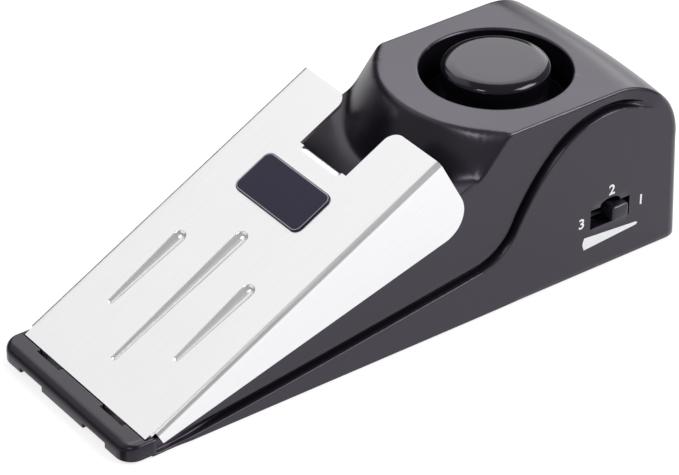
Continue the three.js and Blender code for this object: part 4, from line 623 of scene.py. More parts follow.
# The nose: its round outline carried from the underside over the soft front edge to the plate's bed. Two
# bays at its rear edge take the plate's tongues, with a low notch in its lip under each.
nose_y, nose_top, bed_z, bed_y, bay_y = -72.6, 3.75, 1.0, -67.4, -68.3
corner_centre, nose_corner, bed_corner = (20.0, -68.8), 3.8, 2.9
front_points, corner_points = 12, 13
outline_turn = np.radians(np.linspace(-90, 0, corner_points))
turned_out = np.stack([np.cos(outline_turn), np.sin(outline_turn)], axis=-1)
nose_line = np.concatenate([
    [[x, nose_y] for x in (0, 2, 4, 6, 7.59, 7.6, 9.7, 11.8, 13.9, 16.0, 16.01, 18.0)],
    corner_centre + nose_corner * turned_out, [[23.8, -68.1], [23.8, bed_y], [23.8, -66.3], [23.8, -65.35]],
])
in_bay = (nose_line[:, 0] > 7.595) & (nose_line[:, 0] < 16.005) & (nose_line[:, 1] < -72)
bed_turn = np.linspace(0, math.pi / 2, corner_points)
nose_in = np.concatenate([
    nose_line[:front_points], together(corner_centre[0] + bed_corner * np.sin(bed_turn), bed_y),
    [[22.9, bed_y], [22.9, bed_y], [22.9, -66.3], [22.9, -65.35]],
])
nose_in[:front_points, 1] = np.where(in_bay[:front_points], bay_y, bed_y)
nose_out = np.concatenate([np.tile([0, -1], (front_points, 1)), turned_out, np.tile([1, 0], (4, 1))])
nose_low = np.where(in_bay, 1.2, 0.0)


def edge_softness(front_size, side_size=0.45):
    """A soft edge's size along the nose: full at the front, and less round the corner to the side."""
    shrinking = np.linspace(front_size, side_size, corner_points)
    return np.concatenate([np.full(front_points, front_size), shrinking, np.full(4, side_size)])


def nose_layer(drawn_in, height):
    """The nose's outline drawn in by a distance, at a height."""
    return together(*(nose_line - nose_out * np.reshape(drawn_in, (-1, 1))).T, height)


soft_out, soft_down = edge_softness(2.3), edge_softness(1.9)
layers = [nose_layer(2.6, nose_low), nose_layer(foot_inset, nose_low), nose_layer(0, nose_low + foot_inset)]
for turn in np.linspace(0, math.pi / 2, 10):
    layers.append(nose_layer(soft_out * (1 - np.cos(turn)), nose_top - soft_down * (1 - np.sin(turn))))
layers.append(nose_layer(soft_out + 0.06, nose_top))
for inwards, height in ((0.97, nose_top), (1.0, nose_top), (1.0, bed_z)):
    layers.append(together(*(nose_in * inwards + layers[13][:, :2] * (1 - inwards)).T, height))
nose_part = as_part(np.stack(layers, axis=1))
under = np.array([[[x, y, 0.0] for y in (-70.0, -67.0, -64.0, -61.4)] for x in (0.0, 7.6, 16.0, 22.8)])
under_part = (under.reshape(-1, 3), grid_faces(4, 4)[:, ::-1])

half_points, half_faces = gathered([front_part, as_part(rear), well_part, lining_part, nose_part, under_part])
half_points = half_points + [0, 0, housing_lift]
other_half = (half_points * [-1, 1, 1], half_faces[:, ::-1])
housing = piece_of("upper_housing_shell", [(half_points, half_faces), other_half], black_abs)
closed(housing, seam=4e-6, crisp=48)

# Painted shade: a recess shines less, 1 in the siren's well and deep in the groove, as shade would make it.
# Half of it, on the nose, makes the nose darker.
x, y, z = (points_of(housing.data) * 1000 - [0, 0, housing_lift]).T
reach = np.hypot(x - siren[0], y - siren[1])
in_siren_well = (reach < well_radius + 0.3) & (z < deck_z - 0.35) & (z > 30)
groove_share = np.clip((wall_x - 0.06 - np.abs(x)) / 0.45, 0, 1) * (np.abs(x) > inner_x + 0.6)
in_groove = groove_share * (np.abs(z - cheek_height(y)) < 2.4) * (y < 69)
on_nose = 0.5 * (y < -65.9) * (z > -1)
marked(housing, "recess", np.maximum(np.maximum(in_siren_well, in_groove), on_nose))
having(housing.modifiers.new("even_shading", "WEIGHTED_NORMAL"), keep_sharp=True, weight=70)
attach(housing, "housing")
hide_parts("upper_housing")


# The siren cap: a glossy black moulding with a flat top and a round shoulder, that stands in the well on
# three legs. Their headed pins go through the well's floor. Sound leaves through the ring round the cap.

def ring_faces(rings, sides):
    """Faces between rings of points, each ring closed on itself."""
    ring, side = np.meshgrid(np.arange(rings - 1), np.arange(sides), indexing="ij")
    here, ahead = ring * sides + side, ring * sides + (side + 1) % sides
    return np.stack([here, ahead, ahead + sides, here + sides], axis=-1).reshape(-1, 4)


def turned_surface(profile, centre, sides=160):
    """Points and faces of a profile of (radius, height) carried round a vertical axis at centre."""
    radius, height = np.asarray(profile, dtype=float).T[:, :, None]
    angle = np.arange(sides) * 2 * math.pi / sides
    points = together(centre[0] + radius * np.cos(angle), centre[1] + radius * np.sin(angle), height)
    return points.reshape(-1, 3), ring_faces(len(profile), sides)


def oval_edge(flat_radius, top, out, down, steps):
    """A quarter of an ellipse from a flat top to an upright side: radius plus out times the sine, height
    less down times one minus the cosine."""
    turn = np.linspace(0, math.pi / 2, steps + 1)
    return np.stack([flat_radius + out * np.sin(turn), top - down * (1 - np.cos(turn))], axis=-1)


cap_top, cap_foot = 44.4, 38.2
cap_radius, cap_wall, cap_roll, cap_drop = 11.8, 1.8, 3.0, 1.6
leg_circle = 9.6
cap_inner, cap_ceiling = cap_radius - cap_wall, cap_top - cap_wall
cap_profile = np.concatenate([
    [[0.001, cap_top], [5.0, cap_top]],
    oval_edge(cap_radius - cap_roll, cap_top, cap_roll, cap_drop, 16),
    [[11.76, 41.6], [11.6, 39.4], [11.35, cap_foot + 0.1], [11.15, cap_foot]],
    [[cap_inner, cap_foot], [cap_inner, 41.2], [cap_inner - 1.0, cap_ceiling - 0.2], [0.001, cap_ceiling]],
])
leg_profile = [
    [0.001, 42.2], [1.0, 42.2], [1.8, 41.4], [1.8, 33.6], [1.7, 33.52], [0.9, 33.52], [0.9, 31.3],
    [1.6, 31.26], [1.6, 31.0], [1.3, 30.72], [0.001, 30.66],
]
cap_parts = [turned_surface(cap_profile, siren)]
for turn in np.radians((90, 210, 330)):
    place = (siren[0] + leg_circle * math.cos(turn), siren[1] + leg_circle * math.sin(turn))
    cap_parts.append(turned_surface(leg_profile, place, 28))
gloss_black = plastic("gloss_black", (0.0045, 0.004, 0.006), (0.05, 0.048, 0.055), 0.13, 2600.0, 0.3, 0.01,
                      0.04, {**violet_shine, "Specular IOR Level": 0.45})
cap = closed(piece_of("siren_cap_button", cap_parts, gloss_black), crisp=35)
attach(cap, "housing")
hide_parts("siren_cap")


# The siren under the cap: a brass piezo disc with its silvered ceramic, clamped by a retainer ring and
# two self-tapping screws to the ring under the well's floor.

def finish_nodes(material, *names):
    """CAD nodes that stay get their finish."""
    for name in names:
        nodes[name].data.materials.clear()
        nodes[name].data.materials.append(material)


def metal(name, colour, gloss, streak, bump, gloss_change=0.1):
    """Bare metal: its colour, its gloss, and fine lines that run along the Y axis as streak says."""
    material, tree, surface = new_material(name)
    stretched = shader(tree, "Mapping", {"Vector": own_place(tree), "Scale": streak}).outputs["Vector"]
    lines = noise(tree, stretched, 1.0, 3.0)
    darker = [channel * 0.86 for channel in colour]
    lighter = [min(channel * 1.06, 1.0) for channel in colour]
    feed(surface, {
        "Metallic": 1.0,
        "Base Color": blended(tree, darker, lighter, lines),
        "Roughness": graded(tree, lines, max(gloss - gloss_change, 0.05), gloss + gloss_change),
        "Normal": raised(tree, lines, bump, 0.0001),
    })
    return material


rolled_brass = metal("rolled_brass", (0.62, 0.46, 0.20), 0.3, (3000, 150, 3000), 0.1)
zinc_steel = metal("zinc_steel", (0.48, 0.48, 0.50), 0.34, (900, 900, 900), 0.1)
silvered_ceramic = plastic("silvered_ceramic", (0.74, 0.72, 0.66), (0.8, 0.78, 0.72), 0.45, 1800.0, 0.6, 0.08)
inner_black = plastic("inner_black", (0.032, 0.031, 0.034), (0.07, 0.07, 0.075), 0.5, 2400.0, 0.6, 0.1)
finish_nodes(rolled_brass, "piezo_disc")
finish_nodes(silvered_ceramic, "piezo_ceramic")
finish_nodes(inner_black, "piezo_retainer")
finish_nodes(zinc_steel, "retainer_screw_left", "retainer_screw_right")


# The pressure plate: 0.8 mm stainless sheet, pressed with three flutes and folded down both sides into
# long skirts. Its rear edge is notched, with a leg folded down in the notch that hooks under the ramp.
# Two hooked tongues at its front edge sit in pockets of the nose, so it tilts on them.

plate_angle = math.radians(28.2)
plate_foot = (-67.1, 4.2)
plate_length, plate_half, sheet_thickness = 82.1, 23.8, 0.8
fold, relief = 1.3, 2.3
flat_half = plate_half - fold
notch_half, notch_start, prong_round = 8.05, 68.2, 3.0
skirt_front, skirt_rear, skirt_round = 3.1, 19.96, 6.5
leg_half, slit_edge, slit_start, leg_foot = 6.0, 6.6, 67.45, -14.02
tongue_x, tongue_half = 11.8, 3.8

# Each flute's middle across the plate, and where it starts and ends up the slope.
flutes = [(-12.4, 16.2, 38.1), (0.1, 7.8, 46.0), (12.35, 15.9, 38.2)]
flute_radius, flute_depth, flute_heel = 1.75, 1.05, 0.75


def skirt_depth(s):
    """How far the skirt hangs below the plate at a distance s up its slope: a straight taper, and then a
    round corner that ends upright at the rear."""
    slope = (skirt_rear - skirt_front) / (plate_length - relief)
    lean = math.atan(slope)
    centre_s = plate_length - skirt_round
    centre_n = -skirt_rear + skirt_round * math.tan((math.pi / 2 + lean) / 2)
    straight = skirt_front + (s - relief) * slope
    round_part = -(centre_n - np.sqrt(np.maximum(skirt_round ** 2 - (s - centre_s) ** 2, 0)))
    return np.where(s > centre_s - skirt_round * math.sin(lean), round_part, straight)


def flute_fall(s, x):
    """How far the flutes press the sheet down. Each has a small round lower end and widens to a round upper
    end. Across it the fall is one less the squared share of its half width, to the power of one and a half."""
    fall = np.zeros(np.broadcast(s, x).shape)
    for centre, start, end in flutes:
        shoulder = end - flute_radius
        heel = start + flute_heel
        share = np.clip((s - heel) / (shoulder - heel), 0, 1)
        upper = np.sqrt(np.maximum(flute_radius ** 2 - (s - shoulder) ** 2, 0))
        lower = np.sqrt(np.maximum(flute_heel ** 2 - (heel - s) ** 2, 0))
        widening = flute_heel + (flute_radius - flute_heel) * share
        half = np.where(s > shoulder, upper, np.where(s < heel, lower, widening))
        half = np.where((s > start) & (s < end), half, 0)
        t = np.clip(np.abs(x - centre) / np.maximum(half, 1e-6), 0, 1)
        fall += flute_depth * (half / flute_radius) ** 0.8 * (1 - t ** 2) ** 1.5
    return fall


def on_plate(x, s, n):
    """Points of the plate's own frame (across, up the slope, out of it) in the object's frame, in mm."""
    y = plate_foot[0] + s * math.cos(plate_angle) - n * math.sin(plate_angle)
    z = plate_foot[1] + s * math.sin(plate_angle) + n * math.cos(plate_angle)
    return together(x, y, z)


# Across the sheet: from the left skirt's lower edge over the fold and the top to the right skirt's edge.
# A column is a share of the skirt's depth, an angle of the fold, or a place across the top.
kept_columns = [-notch_half, notch_half, -leg_half, leg_half, -slit_edge, slit_edge]
flute_columns = [np.linspace(centre - 1.95, centre + 1.95, 40) for centre, _, _ in flutes]
top_columns = np.unique(np.round(np.concatenate([
    np.linspace(-flat_half, flat_half, 46), kept_columns, *flute_columns,
]), 4))
top_columns = top_columns[np.concatenate([[True], np.diff(top_columns) > 0.06])]
for kept in kept_columns:
    top_columns[np.argmin(np.abs(top_columns - kept))] = kept
skirt_columns = np.linspace(1, 0, 15)
fold_columns = np.linspace(0, math.pi / 2, 8)[1:-1]
steps_up = np.unique(np.round(np.concatenate([
    [0.0, 0.5, 1.2, relief, 3.2], np.linspace(4.0, 7.5, 6),
    np.linspace(7.8, 48.0, 115), np.linspace(48.5, 66.9, 20),
    *[np.linspace(end - flute_radius - 0.2, end + 0.1, 22) for _, _, end in flutes],
    *[np.linspace(start - 0.1, start + flute_heel + 0.1, 10) for _, start, _ in flutes],
    [65.8, 66.9, 67.5, notch_start], np.linspace(69.0, 74.0, 6),
    plate_length - skirt_round + skirt_round * np.sin(np.radians(np.linspace(-11.9, 90, 26))),
]), 4))
s = steps_up[:, None]
past_prong = s - plate_length + prong_round
prong_inner = notch_half + np.where(
    past_prong > 0, prong_round - np.sqrt(np.maximum(prong_round ** 2 - past_prong ** 2, 0)), 0)
on_prong = (np.abs(top_columns) - notch_half) * (flat_half - prong_inner) / (flat_half - notch_half)
spread = np.where(
    np.abs(top_columns) >= notch_half, np.sign(top_columns) * (prong_inner + on_prong), top_columns + 0 * s)
skirt_n = -fold - skirt_columns * (skirt_depth(s) - fold)
skirt_x = plate_half + 0 * skirt_n
fold_x = plate_half - fold * (1 - np.cos(fold_columns)) + 0 * s
fold_n = -fold * (1 - np.sin(fold_columns)) + 0 * s
sheet_x = np.concatenate([-skirt_x, -fold_x, spread, fold_x[:, ::-1], skirt_x[:, ::-1]], axis=1)
sheet_n = np.concatenate([skirt_n, fold_n, -flute_fall(s, spread), fold_n[:, ::-1], skirt_n[:, ::-1]], axis=1)
rows, columns = sheet_x.shape
first_top = len(skirt_columns) + len(fold_columns)
last_top = first_top + len(top_columns) - 1
cell_x = np.zeros(columns - 1)
cell_x[first_top:last_top] = np.abs(top_columns[1:] + top_columns[:-1]) / 2
is_top = (np.arange(columns - 1) >= first_top) & (np.arange(columns - 1) < last_top)
cell_s = ((steps_up[1:] + steps_up[:-1]) / 2)[:, None]
in_notch = is_top & (cell_x < notch_half) & (cell_s > notch_start)
under_leg = is_top & (cell_x < leg_half) & (cell_s > notch_start - fold)
in_slit = is_top & (cell_x > leg_half) & (cell_x < slit_edge) & (cell_s > slit_start)
no_skirt = ~is_top & (cell_s < relief)
sheet_kept = ~(in_notch | under_leg | in_slit | no_skirt)
sheet = (on_plate(sheet_x, s, sheet_n).reshape(-1, 3), grid_faces(rows, columns, sheet_kept))


def strip(path, x0, x1, place):
    """A folded strip: a path in side view carried straight across from x0 to x1."""
    return as_part(place(np.linspace(x0, x1, 7), path[:, None, 0], path[:, None, 1]))


leg_path = np.concatenate([
    arc((notch_start - fold, -fold), fold, 90, 0, 7),
    arc((notch_start - 1.0, leg_foot + 1.0), 1.0, 0, -90, 6),
    [[notch_start - 1.8, leg_foot]],
])
tongue_path = np.array([
    [-69.3, 2.6], [-67.9, 2.6], [-67.6, 2.68], [-67.42, 2.9], [-67.32, 3.4], [-67.25, 3.85], plate_foot,
])
tongues = [strip(tongue_path, x - tongue_half, x + tongue_half, together) for x in (-tongue_x, tongue_x)]
leg = strip(leg_path, -leg_half, leg_half, on_plate)


def satin_steel(name):
    """Rolled stainless with a fine satin finish along the slope of the plate, and faint smears from
    handling."""
    material, tree, surface = new_material(name)
    place = own_place(tree)
    level = shader(tree, "Mapping", {"Vector": place, "Rotation": (-plate_angle, 0, 0)}).outputs["Vector"]
    stretched = shader(tree, "Mapping", {"Vector": level, "Scale": (5200, 90, 5200)}).outputs["Vector"]
    lines = noise(tree, stretched, 1.0, 2.0)
    smears = noise(tree, place, 55.0, 5.0, 0.6)
    feed(surface, {
        "Metallic": 1.0,
        "Base Color": blended(tree, (0.81, 0.81, 0.82), (0.89, 0.89, 0.90), lines),
        "Roughness": graded(tree, smears, 0.28, 0.32, 0.3, 0.7),
        "Normal": raised(tree, lines, 0.08, 0.00006),
    })
    return material


plate = piece_of("folded_pressure_plate", [sheet, leg, *tongues], satin_steel("satin_stainless"))
having(plate.modifiers.new("sheet_thickness", "SOLIDIFY"),
       thickness=sheet_thickness / 1000, offset=-1.0, use_even_offset=True)
having(plate.modifiers.new("deburred_edges", "BEVEL"),
       limit_method="ANGLE", angle_limit=math.radians(70), width=0.00014, segments=2, harden_normals=True)
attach(plate, "plate")
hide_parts("pressure_plate")


# The badge: a thin plastic label plate with round corners, blue-black under a clear dome, with a pale
# line round its edge. It is glued to the steel a little left of the middle, and is left bare.

badge_centre = (-0.95, 57.4)
badge_half = (11.25, 5.45)
badge_round = 1.9
badge_base, badge_rise = 0.12, 0.42


def badge_outline(inset, steps=14):
    """A rectangle with round corners, drawn in by inset, as points that go once round it."""
    half_x, half_s = badge_half[0] - inset, badge_half[1] - inset
    radius = max(badge_round - inset, 0.15)
    corners = []
    for corner, (sign_x, sign_s) in enumerate(((1, 1), (-1, 1), (-1, -1), (1, -1))):
        centre = (badge_centre[0] + sign_x * (half_x - radius), badge_centre[1] + sign_s * (half_s - radius))
        corners.append(arc(centre, radius, corner * 90, corner * 90 + 90, steps - 1))
    return np.concatenate(corners)


badge_rings = [
    (0.0, badge_base), (0.0, badge_base + 0.16), (0.05, badge_base + 0.24), (0.16, badge_base + 0.3),
    (0.55, badge_rise - 0.03), (0.75, badge_rise - 0.02), (1.2, badge_rise), (3.0, badge_rise),
    (5.2, badge_rise),
]
badge_points = np.concatenate([on_plate(*badge_outline(inset).T, height) for inset, height in badge_rings])
around = len(badge_points) // len(badge_rings)
badge_part = (badge_points, ring_faces(len(badge_rings), around))


def badge_finish(name):
    """Blue-black with a pale printed line near the edge, read from how far each point lies inside it."""
    material, tree, surface = new_material(name)
    inside = shader(tree, "Attribute", attribute_name="badge_inset").outputs["Fac"]
    line = shader(tree, "ValToRGB", {"Fac": inside})
    rim_black, field_black = (0.012, 0.010, 0.024, 1), (0.013, 0.011, 0.030, 1)
    pale_grey = (0.42, 0.41, 0.44, 1)
    stops = line.color_ramp.elements
    stops[0].position, stops[0].color = 0.0, rim_black
    stops[1].position, stops[1].color = 1.0, field_black
    for position, colour in ((0.20, rim_black), (0.26, pale_grey), (0.36, pale_grey), (0.42, field_black)):
        stops.new(position).color = colour
    haze = noise(tree, own_place(tree), 160.0, 4.0)
    feed(surface, {
        "Base Color": line.outputs["Color"],
        "Specular IOR Level": 0.3,
        "Specular Tint": (0.90, 0.86, 1.0, 1),
        "Roughness": graded(tree, haze, 0.26, 0.4),
    })
    return material


badge = closed(piece_of("bare_badge", [badge_part], badge_finish("badge_black")), crisp=40, filled=True)
marked(badge, "badge_inset", np.repeat([inset for inset, _ in badge_rings], around))
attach(badge, "plate")
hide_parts("plate_badge")


# The sensitivity slide and the power slide: each a black slide switch whose moulded knob comes out
# through the opening in its cheek. A knob is a block with rolled edges on a thin stem.

def rounded_block(low, high, radius, steps=5):
    """Points and faces of a box with rolled edges: each eighth of a ball of the radius, carried out to its
    own corner of the box, and the flats between them."""
    low, high = np.asarray(low, dtype=float), np.asarray(high, dtype=float)
    reach = (high - low) / 2 - radius
    turn = np.linspace(0, math.pi / 2, steps + 1)
    around = np.concatenate([turn + quarter * math.pi / 2 for quarter in range(4)])
    out_x = np.repeat([1, -1, -1, 1], steps + 1)
    out_y = np.repeat([1, 1, -1, -1], steps + 1)
    rise = np.concatenate([turn - math.pi / 2, turn])
    out_z = np.repeat([-1, 1], steps + 1)
    x = out_x * reach[0] + radius * np.cos(rise)[:, None] * np.cos(around)
    y = out_y * reach[1] + radius * np.cos(rise)[:, None] * np.sin(around)
    z = (out_z * reach[2] + radius * np.sin(rise))[:, None]
    grid = together(x, y, z)
    grid = np.concatenate([grid[:1] * [0, 0, 1], grid, grid[-1:] * [0, 0, 1]])
    return as_part(np.concatenate([grid, grid[:, :1]], axis=1) + (low + high) / 2)


slide_black = plastic("slide_black", (0.010, 0.009, 0.012), (0.06, 0.057, 0.065), 0.22, 3200.0, 0.5, 0.05,
                      shine={"Specular Tint": (0.93, 0.89, 1.0, 1)})
knob_x, knob_z, knob_round = (20.7, 25.25), (11.56, 15.14), 0.62
stem_x, stem_z, stem_round, stem_inset = (17.85, 21.4), (12.3, 14.4), 0.2, 0.9
for name, side, low_y, high_y, body in (
    ("sensitivity", 1, 51.25, 55.55, "sensitivity"), ("power", -1, 50.65, 54.95, "power"),
):
    finish_nodes(inner_black, f"{name}_switch")
    stem_y = (low_y + stem_inset, high_y - stem_inset)
    knob_points, knob_faces = gathered([
        rounded_block(*zip(knob_x, (low_y, high_y), knob_z), knob_round),
        rounded_block(*zip(stem_x, stem_y, stem_z), stem_round, 3),
    ])
    knob = closed(piece_of(f"{name}_slide_knob", [(knob_points * [side, 1, 1], knob_faces)], slide_black))
    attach(knob, body)
    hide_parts(f"{name}_knob")


# The printed marks: white pad-printed ink. The numbers 3, 2 and 1 stand round the sensitivity slide over
# a wedge-shaped bar, and ON and OFF stand by the power slide.

ink_x, ink_half, ink_spread, capital_share = 24.016, 0.012, 0.07, 0.72
white_ink = plastic("white_ink", (0.86, 0.86, 0.88), (0.9, 0.9, 0.92), 0.5, 5200.0, 0.4, 0.05)


def printed(name, letters, side, y, z, height):
    """Letters as a thin mesh on a cheek, that read from the front on that side."""
    drawn = having(bpy.data.curves.new(name, "FONT"), body=letters, size=height / capital_share,
                   extrude=ink_half, offset=ink_spread, align_x="CENTER")
    holder = in_scene(name + "_drawn", drawn)
    bpy.context.view_layer.update()
    mesh = bpy.data.meshes.new_from_object(holder.evaluated_get(bpy.context.evaluated_depsgraph_get()))
    bpy.data.objects.remove(holder)
    across, up, out = points_of(mesh).T
    placed = together(side * (ink_x + out), y + side * across, z + up) / 1000
    mesh.vertices.foreach_set("co", placed.ravel())
    mesh.materials.clear()
    mesh.materials.append(white_ink)
    mark = in_scene(name, mesh)
    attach(mark, "housing")


# Name, letters, side (1 right, -1 left), place along the body, height of the foot and of the letters.
printed("mark_three", "3", 1, 43.5, 12.3, 2.5)
printed("mark_two", "2", 1, 51.6, 18.0, 2.5)
printed("mark_one", "1", 1, 59.9, 12.4, 2.5)
printed("mark_on", "ON", -1, 47.2, 7.4, 2.2)
printed("mark_off", "OFF", -1, 55.4, 7.4, 2.2)

# The bar narrows to the rear, and both its ends are rounded over end_round.
bar_front, bar_rear, bar_z, end_round = 44.0, 59.2, 7.9, 0.35
bar_middle, bar_half_length = (bar_front + bar_rear) / 2, (bar_rear - bar_front) / 2
bar_y = np.linspace(bar_front, bar_rear, 40)[:, None]
past_end = np.clip(np.abs(bar_y - bar_middle) - (bar_half_length - end_round), 0, end_round)
bar_edge = np.sqrt(np.clip(1 - past_end ** 2 / end_round ** 2, 0.02, 1))
bar_half = np.interp(bar_y, [bar_front, bar_rear], [1.55, 0.35]) * bar_edge
bar = together([24.005, 24.028, 24.028, 24.005], bar_y, bar_z + bar_half * [-1, -1, 1, 1])
wedge_mark = closed(piece_of("mark_wedge", [as_part(bar)], white_ink, False))
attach(wedge_mark, "housing")


# The plate spring: a coil of hard-drawn steel wire in its cup under the plate, with closed ends. The
# plunger beside it is turned acetal.

spring_tilt = math.radians(25.2)
spring_line = np.array([0, -math.sin(spring_tilt), math.cos(spring_tilt)])
spring_side = np.array([0, math.cos(spring_tilt), math.sin(spring_tilt)])
spring_low, spring_high, spring_off = 21.62, 33.99, -4.779


def coil(radius, wire, turns, low, high, off, sides=10, per_turn=48):
    """A round wire of the given radius along a helix. Its pitch closes up over the last turn at each end."""
    share = np.linspace(0, 1, int(turns * per_turn))
    around = 2 * math.pi * turns * share
    half_climb = (high - low - 2 * wire) * 0.5
    even_climb = np.clip((share - 1 / turns) / (1 - 2 / turns), 0, 1)
    rise = low + wire + half_climb * smooth_step(share, 0, 1) + half_climb * even_climb
    out = np.array([1.0, 0, 0]) * np.cos(around)[:, None] + spring_side * np.sin(around)[:, None]
    middle = out * radius + spring_line * rise[:, None] + spring_side * off
    turn = np.linspace(0, 2 * math.pi, sides + 1)[:, None]
    tube = middle[:, None, :] + wire * (out[:, None, :] * np.cos(turn) + spring_line * np.sin(turn))
    ends = [np.broadcast_to(middle[end], (sides + 1, 3))[None] for end in (0, -1)]
    return as_part(np.concatenate([ends[0], tube, ends[1]]))


spring_steel = metal("drawn_spring_steel", (0.50, 0.49, 0.47), 0.26, (1200, 1200, 1200), 0.12)
spring_coil = coil(4.2, 0.34, 6, spring_low, spring_high, spring_off)
spring = closed(piece_of("coiled_plate_spring", [spring_coil], spring_steel))
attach(spring, "housing")
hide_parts("plate_spring")
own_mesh(spring)
turned_acetal = plastic("turned_acetal", (0.66, 0.65, 0.60), (0.72, 0.71, 0.66), 0.38, 900.0, 0.6, 0.1)
finish_nodes(turned_acetal, "trigger_plunger")


# The circuit board: 1.6 mm glass-epoxy with a green mask over its copper tracks. The contact blade, its
# foot and its post are brass, and close the trigger. A coil and a transistor drive the siren.

def printed_board(name):
    """Green solder mask: a darker green between raised tracks that run square to each other."""
    material, tree, surface = new_material(name)
    tracks = shader(tree, "TexBrick", {
        "Vector": own_place(tree), "Scale": 320.0, "Mortar Size": 0.06, "Mortar Smooth": 0.3,
        "Color1": (0.012, 0.105, 0.045, 1), "Color2": (0.016, 0.13, 0.055, 1), "Mortar": (0.03, 0.24, 0.10, 1),
    })
    feed(surface, {
        "Base Color": tracks.outputs["Color"],
        "Roughness": 0.3,
        "Normal": raised(tree, tracks.outputs["Fac"], 0.2, 0.0001),
    })
    return material


def wound(name, dark, light, across):
    """Fine turns of wire: bands along one axis, with a groove between them."""
    material, tree, surface = new_material(name)
    bands = shader(tree, "TexWave", {
        "Vector": own_place(tree), "Scale": across, "Distortion": 0.4, "Detail Scale": 3.0,
    }, bands_direction="Z").outputs["Fac"]
    feed(surface, {
        "Base Color": blended(tree, dark, light, bands),
        "Roughness": 0.34,
        "Normal": raised(tree, bands, 0.5, 0.0002),
    })
    return material


spring_brass = metal("spring_brass", (0.70, 0.50, 0.22), 0.26, (3000, 200, 3000), 0.1)
plated_post = metal("plated_post", (0.78, 0.60, 0.30), 0.22, (900, 900, 900), 0.06)
tinned_steel = metal("tinned_steel", (0.62, 0.61, 0.59), 0.3, (400, 400, 400), 0.1)
black_epoxy = plastic("black_epoxy", (0.020, 0.020, 0.022), (0.06, 0.06, 0.065), 0.48, 2600.0, 0.8, 0.14)
blue_sleeve = plastic("capacitor_sleeve", (0.020, 0.030, 0.075), (0.10, 0.12, 0.20), 0.3, 700.0, 0.4, 0.06)
copper_turns = wound("enamelled_winding", (0.10, 0.035, 0.012), (0.42, 0.17, 0.06), 900.0)
finish_nodes(printed_board("green_mask"), "circuit_board")
finish_nodes(spring_brass, "contact_blade", "contact_foot")
finish_nodes(plated_post, "contact_post")
finish_nodes(black_epoxy, "controller_chip", "drive_transistor")
finish_nodes(copper_turns, "boost_coil")
finish_nodes(blue_sleeve, "capacitor")
finish_nodes(tinned_steel, "vibration_sensor")
finish_nodes(zinc_steel, "board_screw_front", "board_screw_rear")


# The leads: stranded copper in soft vinyl, red and black from the battery and to the siren, and grey to the
# two slides.

red_vinyl = plastic("red_vinyl", (0.42, 0.018, 0.014), (0.5, 0.05, 0.04), 0.36, 900.0, 0.5, 0.08)
black_vinyl = plastic("black_vinyl", (0.016, 0.016, 0.018), (0.05, 0.05, 0.055), 0.38, 900.0, 0.5, 0.08)
grey_vinyl = plastic("grey_vinyl", (0.20, 0.20, 0.21), (0.26, 0.26, 0.27), 0.4, 900.0, 0.5, 0.08)
finish_nodes(red_vinyl, "battery_lead_red", "piezo_lead_red")
finish_nodes(black_vinyl, "battery_lead_black", "piezo_lead_black")
finish_nodes(grey_vinyl, "sensitivity_lead", "power_lead")


# The base: a black moulded cover with a coarser grain, held by four self-tapping screws. Under it lie a
# ribbed rubber mat and two rubber strips, stuck into their recesses.

def ribbed_rubber(name):
    """Dull rubber with low ribs across the alarm, and dust in its grain."""
    material, tree, surface = new_material(name)
    place = own_place(tree)
    ribs = shader(tree, "TexWave", {"Vector": place, "Scale": 105.0}, bands_direction="Y").outputs["Fac"]
    dust = noise(tree, place, 900.0, 4.0)
    feed(surface, {
        "Base Color": blended(tree, (0.012, 0.012, 0.013), (0.032, 0.032, 0.033), dust),
        "Roughness": 0.8,
        "Normal": raised(tree, ribs, 0.8, 0.0006),
    })
    return material


base_black = plastic("base_black", (0.018, 0.017, 0.020), (0.055, 0.055, 0.06), 0.42, 1500.0, 0.9, 0.16)
finish_nodes(base_black, "base_cover")
finish_nodes(ribbed_rubber("grip_rubber"), "grip_mat", "grip_strip_left", "grip_strip_right")
finish_nodes(zinc_steel, "base_screw_front_left", "base_screw_front_right")
finish_nodes(zinc_steel, "base_screw_rear_left", "base_screw_rear_right")


# The battery: a 9 V block in a printed steel jacket, dark with a copper-coloured end, left bare. Its studs
# snap into the connector, a vinyl-covered strip.

def two_tone_jacket(name, split_at, end_colour, body_colour):
    """Lacquered jacket in two colours that meet at a place along Y, with a soft sheen."""
    material, tree, surface = new_material(name)
    place = own_place(tree)
    along = shader(tree, "SeparateXYZ", {"Vector": place}).outputs["Y"]
    split = graded(tree, along, 0.0, 1.0, split_at - 0.0001, split_at + 0.0001)
    feed(surface, {
        "Base Color": blended(tree, end_colour, body_colour, split),
        "Metallic": 0.6,
        "Roughness": graded(tree, noise(tree, place, 160.0, 4.0), 0.24, 0.4),
    })
    return material


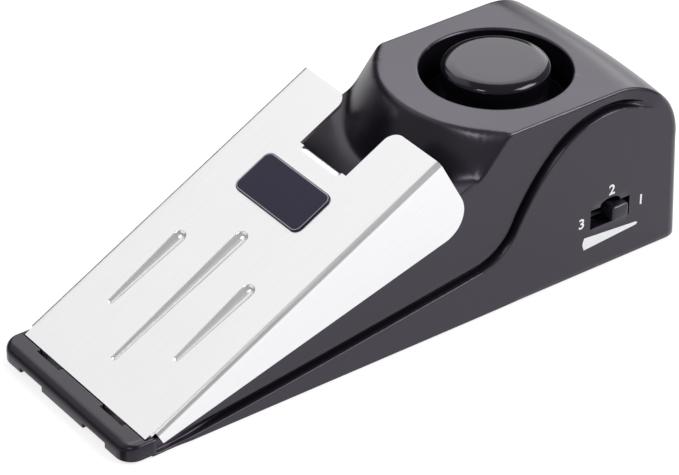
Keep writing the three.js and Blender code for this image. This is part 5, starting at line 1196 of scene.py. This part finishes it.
finish_nodes(two_tone_jacket("battery_jacket", 0.030, (0.62, 0.30, 0.12), (0.035, 0.036, 0.040)), "battery")
finish_nodes(tinned_steel, "battery_stud_positive", "battery_stud_negative")
finish_nodes(black_vinyl, "snap_connector")


# The battery door: the same grained plastic as the base. The foam pad glued to it presses the battery
# up; it is cut from sheet, so its edges are square and its face lies a little crowned.

def crowned_pad(low, high, crown, columns=36, rows=48):
    """A pad with a crowned upper face: its height falls off as the fourth power of the distance from the
    middle, and its sides bulge by a little at half height."""
    u, v = np.meshgrid(np.linspace(-1, 1, columns), np.linspace(-1, 1, rows), indexing="xy")
    half = (np.asarray(high) - np.asarray(low)) / 2
    middle = (np.asarray(high) + np.asarray(low)) / 2
    x, y = u * half[0] * 0.985, v * half[1] * 0.985
    top = together(x, y, half[2] - crown * (1 - (1 - u ** 4) * (1 - v ** 4)))
    foot = together(x, y, -half[2])
    edge = np.concatenate([
        np.arange(columns), np.arange(1, rows) * columns + columns - 1,
        (rows - 1) * columns + np.arange(columns - 1)[::-1], np.arange(rows - 1)[::-1] * columns,
    ])
    levels = np.linspace(0, 1, 7)[:, None, None]
    wall = foot.reshape(-1, 3)[edge] * (1 - levels) + top.reshape(-1, 3)[edge] * levels
    wall[..., :2] *= 1 + 0.015 * np.sin(math.pi * levels)
    under = (foot.reshape(-1, 3), grid_faces(rows, columns)[:, ::-1])
    points, faces = gathered([as_part(top), under, as_part(wall)])
    return points + middle, faces


def open_foam(name):
    """Soft grey foam: small open cells as pits, and a paler colour on the cell walls."""
    material, tree, surface = new_material(name)
    cells = shader(tree, "TexVoronoi", {"Vector": own_place(tree), "Scale": 2600.0}).outputs["Distance"]
    feed(surface, {
        "Base Color": blended(tree, (0.045, 0.045, 0.047), (0.13, 0.13, 0.135), cells),
        "Roughness": 0.95,
        "Normal": raised(tree, cells, 0.7, 0.0003),
    })
    return material


pad_part = crowned_pad([-9.0, 27.7, 2.12], [9.0, 53.7, 3.28], 0.22)
pad = closed(piece_of("battery_foam_pad", [pad_part], open_foam("grey_foam")), crisp=50)
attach(pad, "door")
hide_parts("battery_foam")
finish_nodes(base_black, "battery_door")
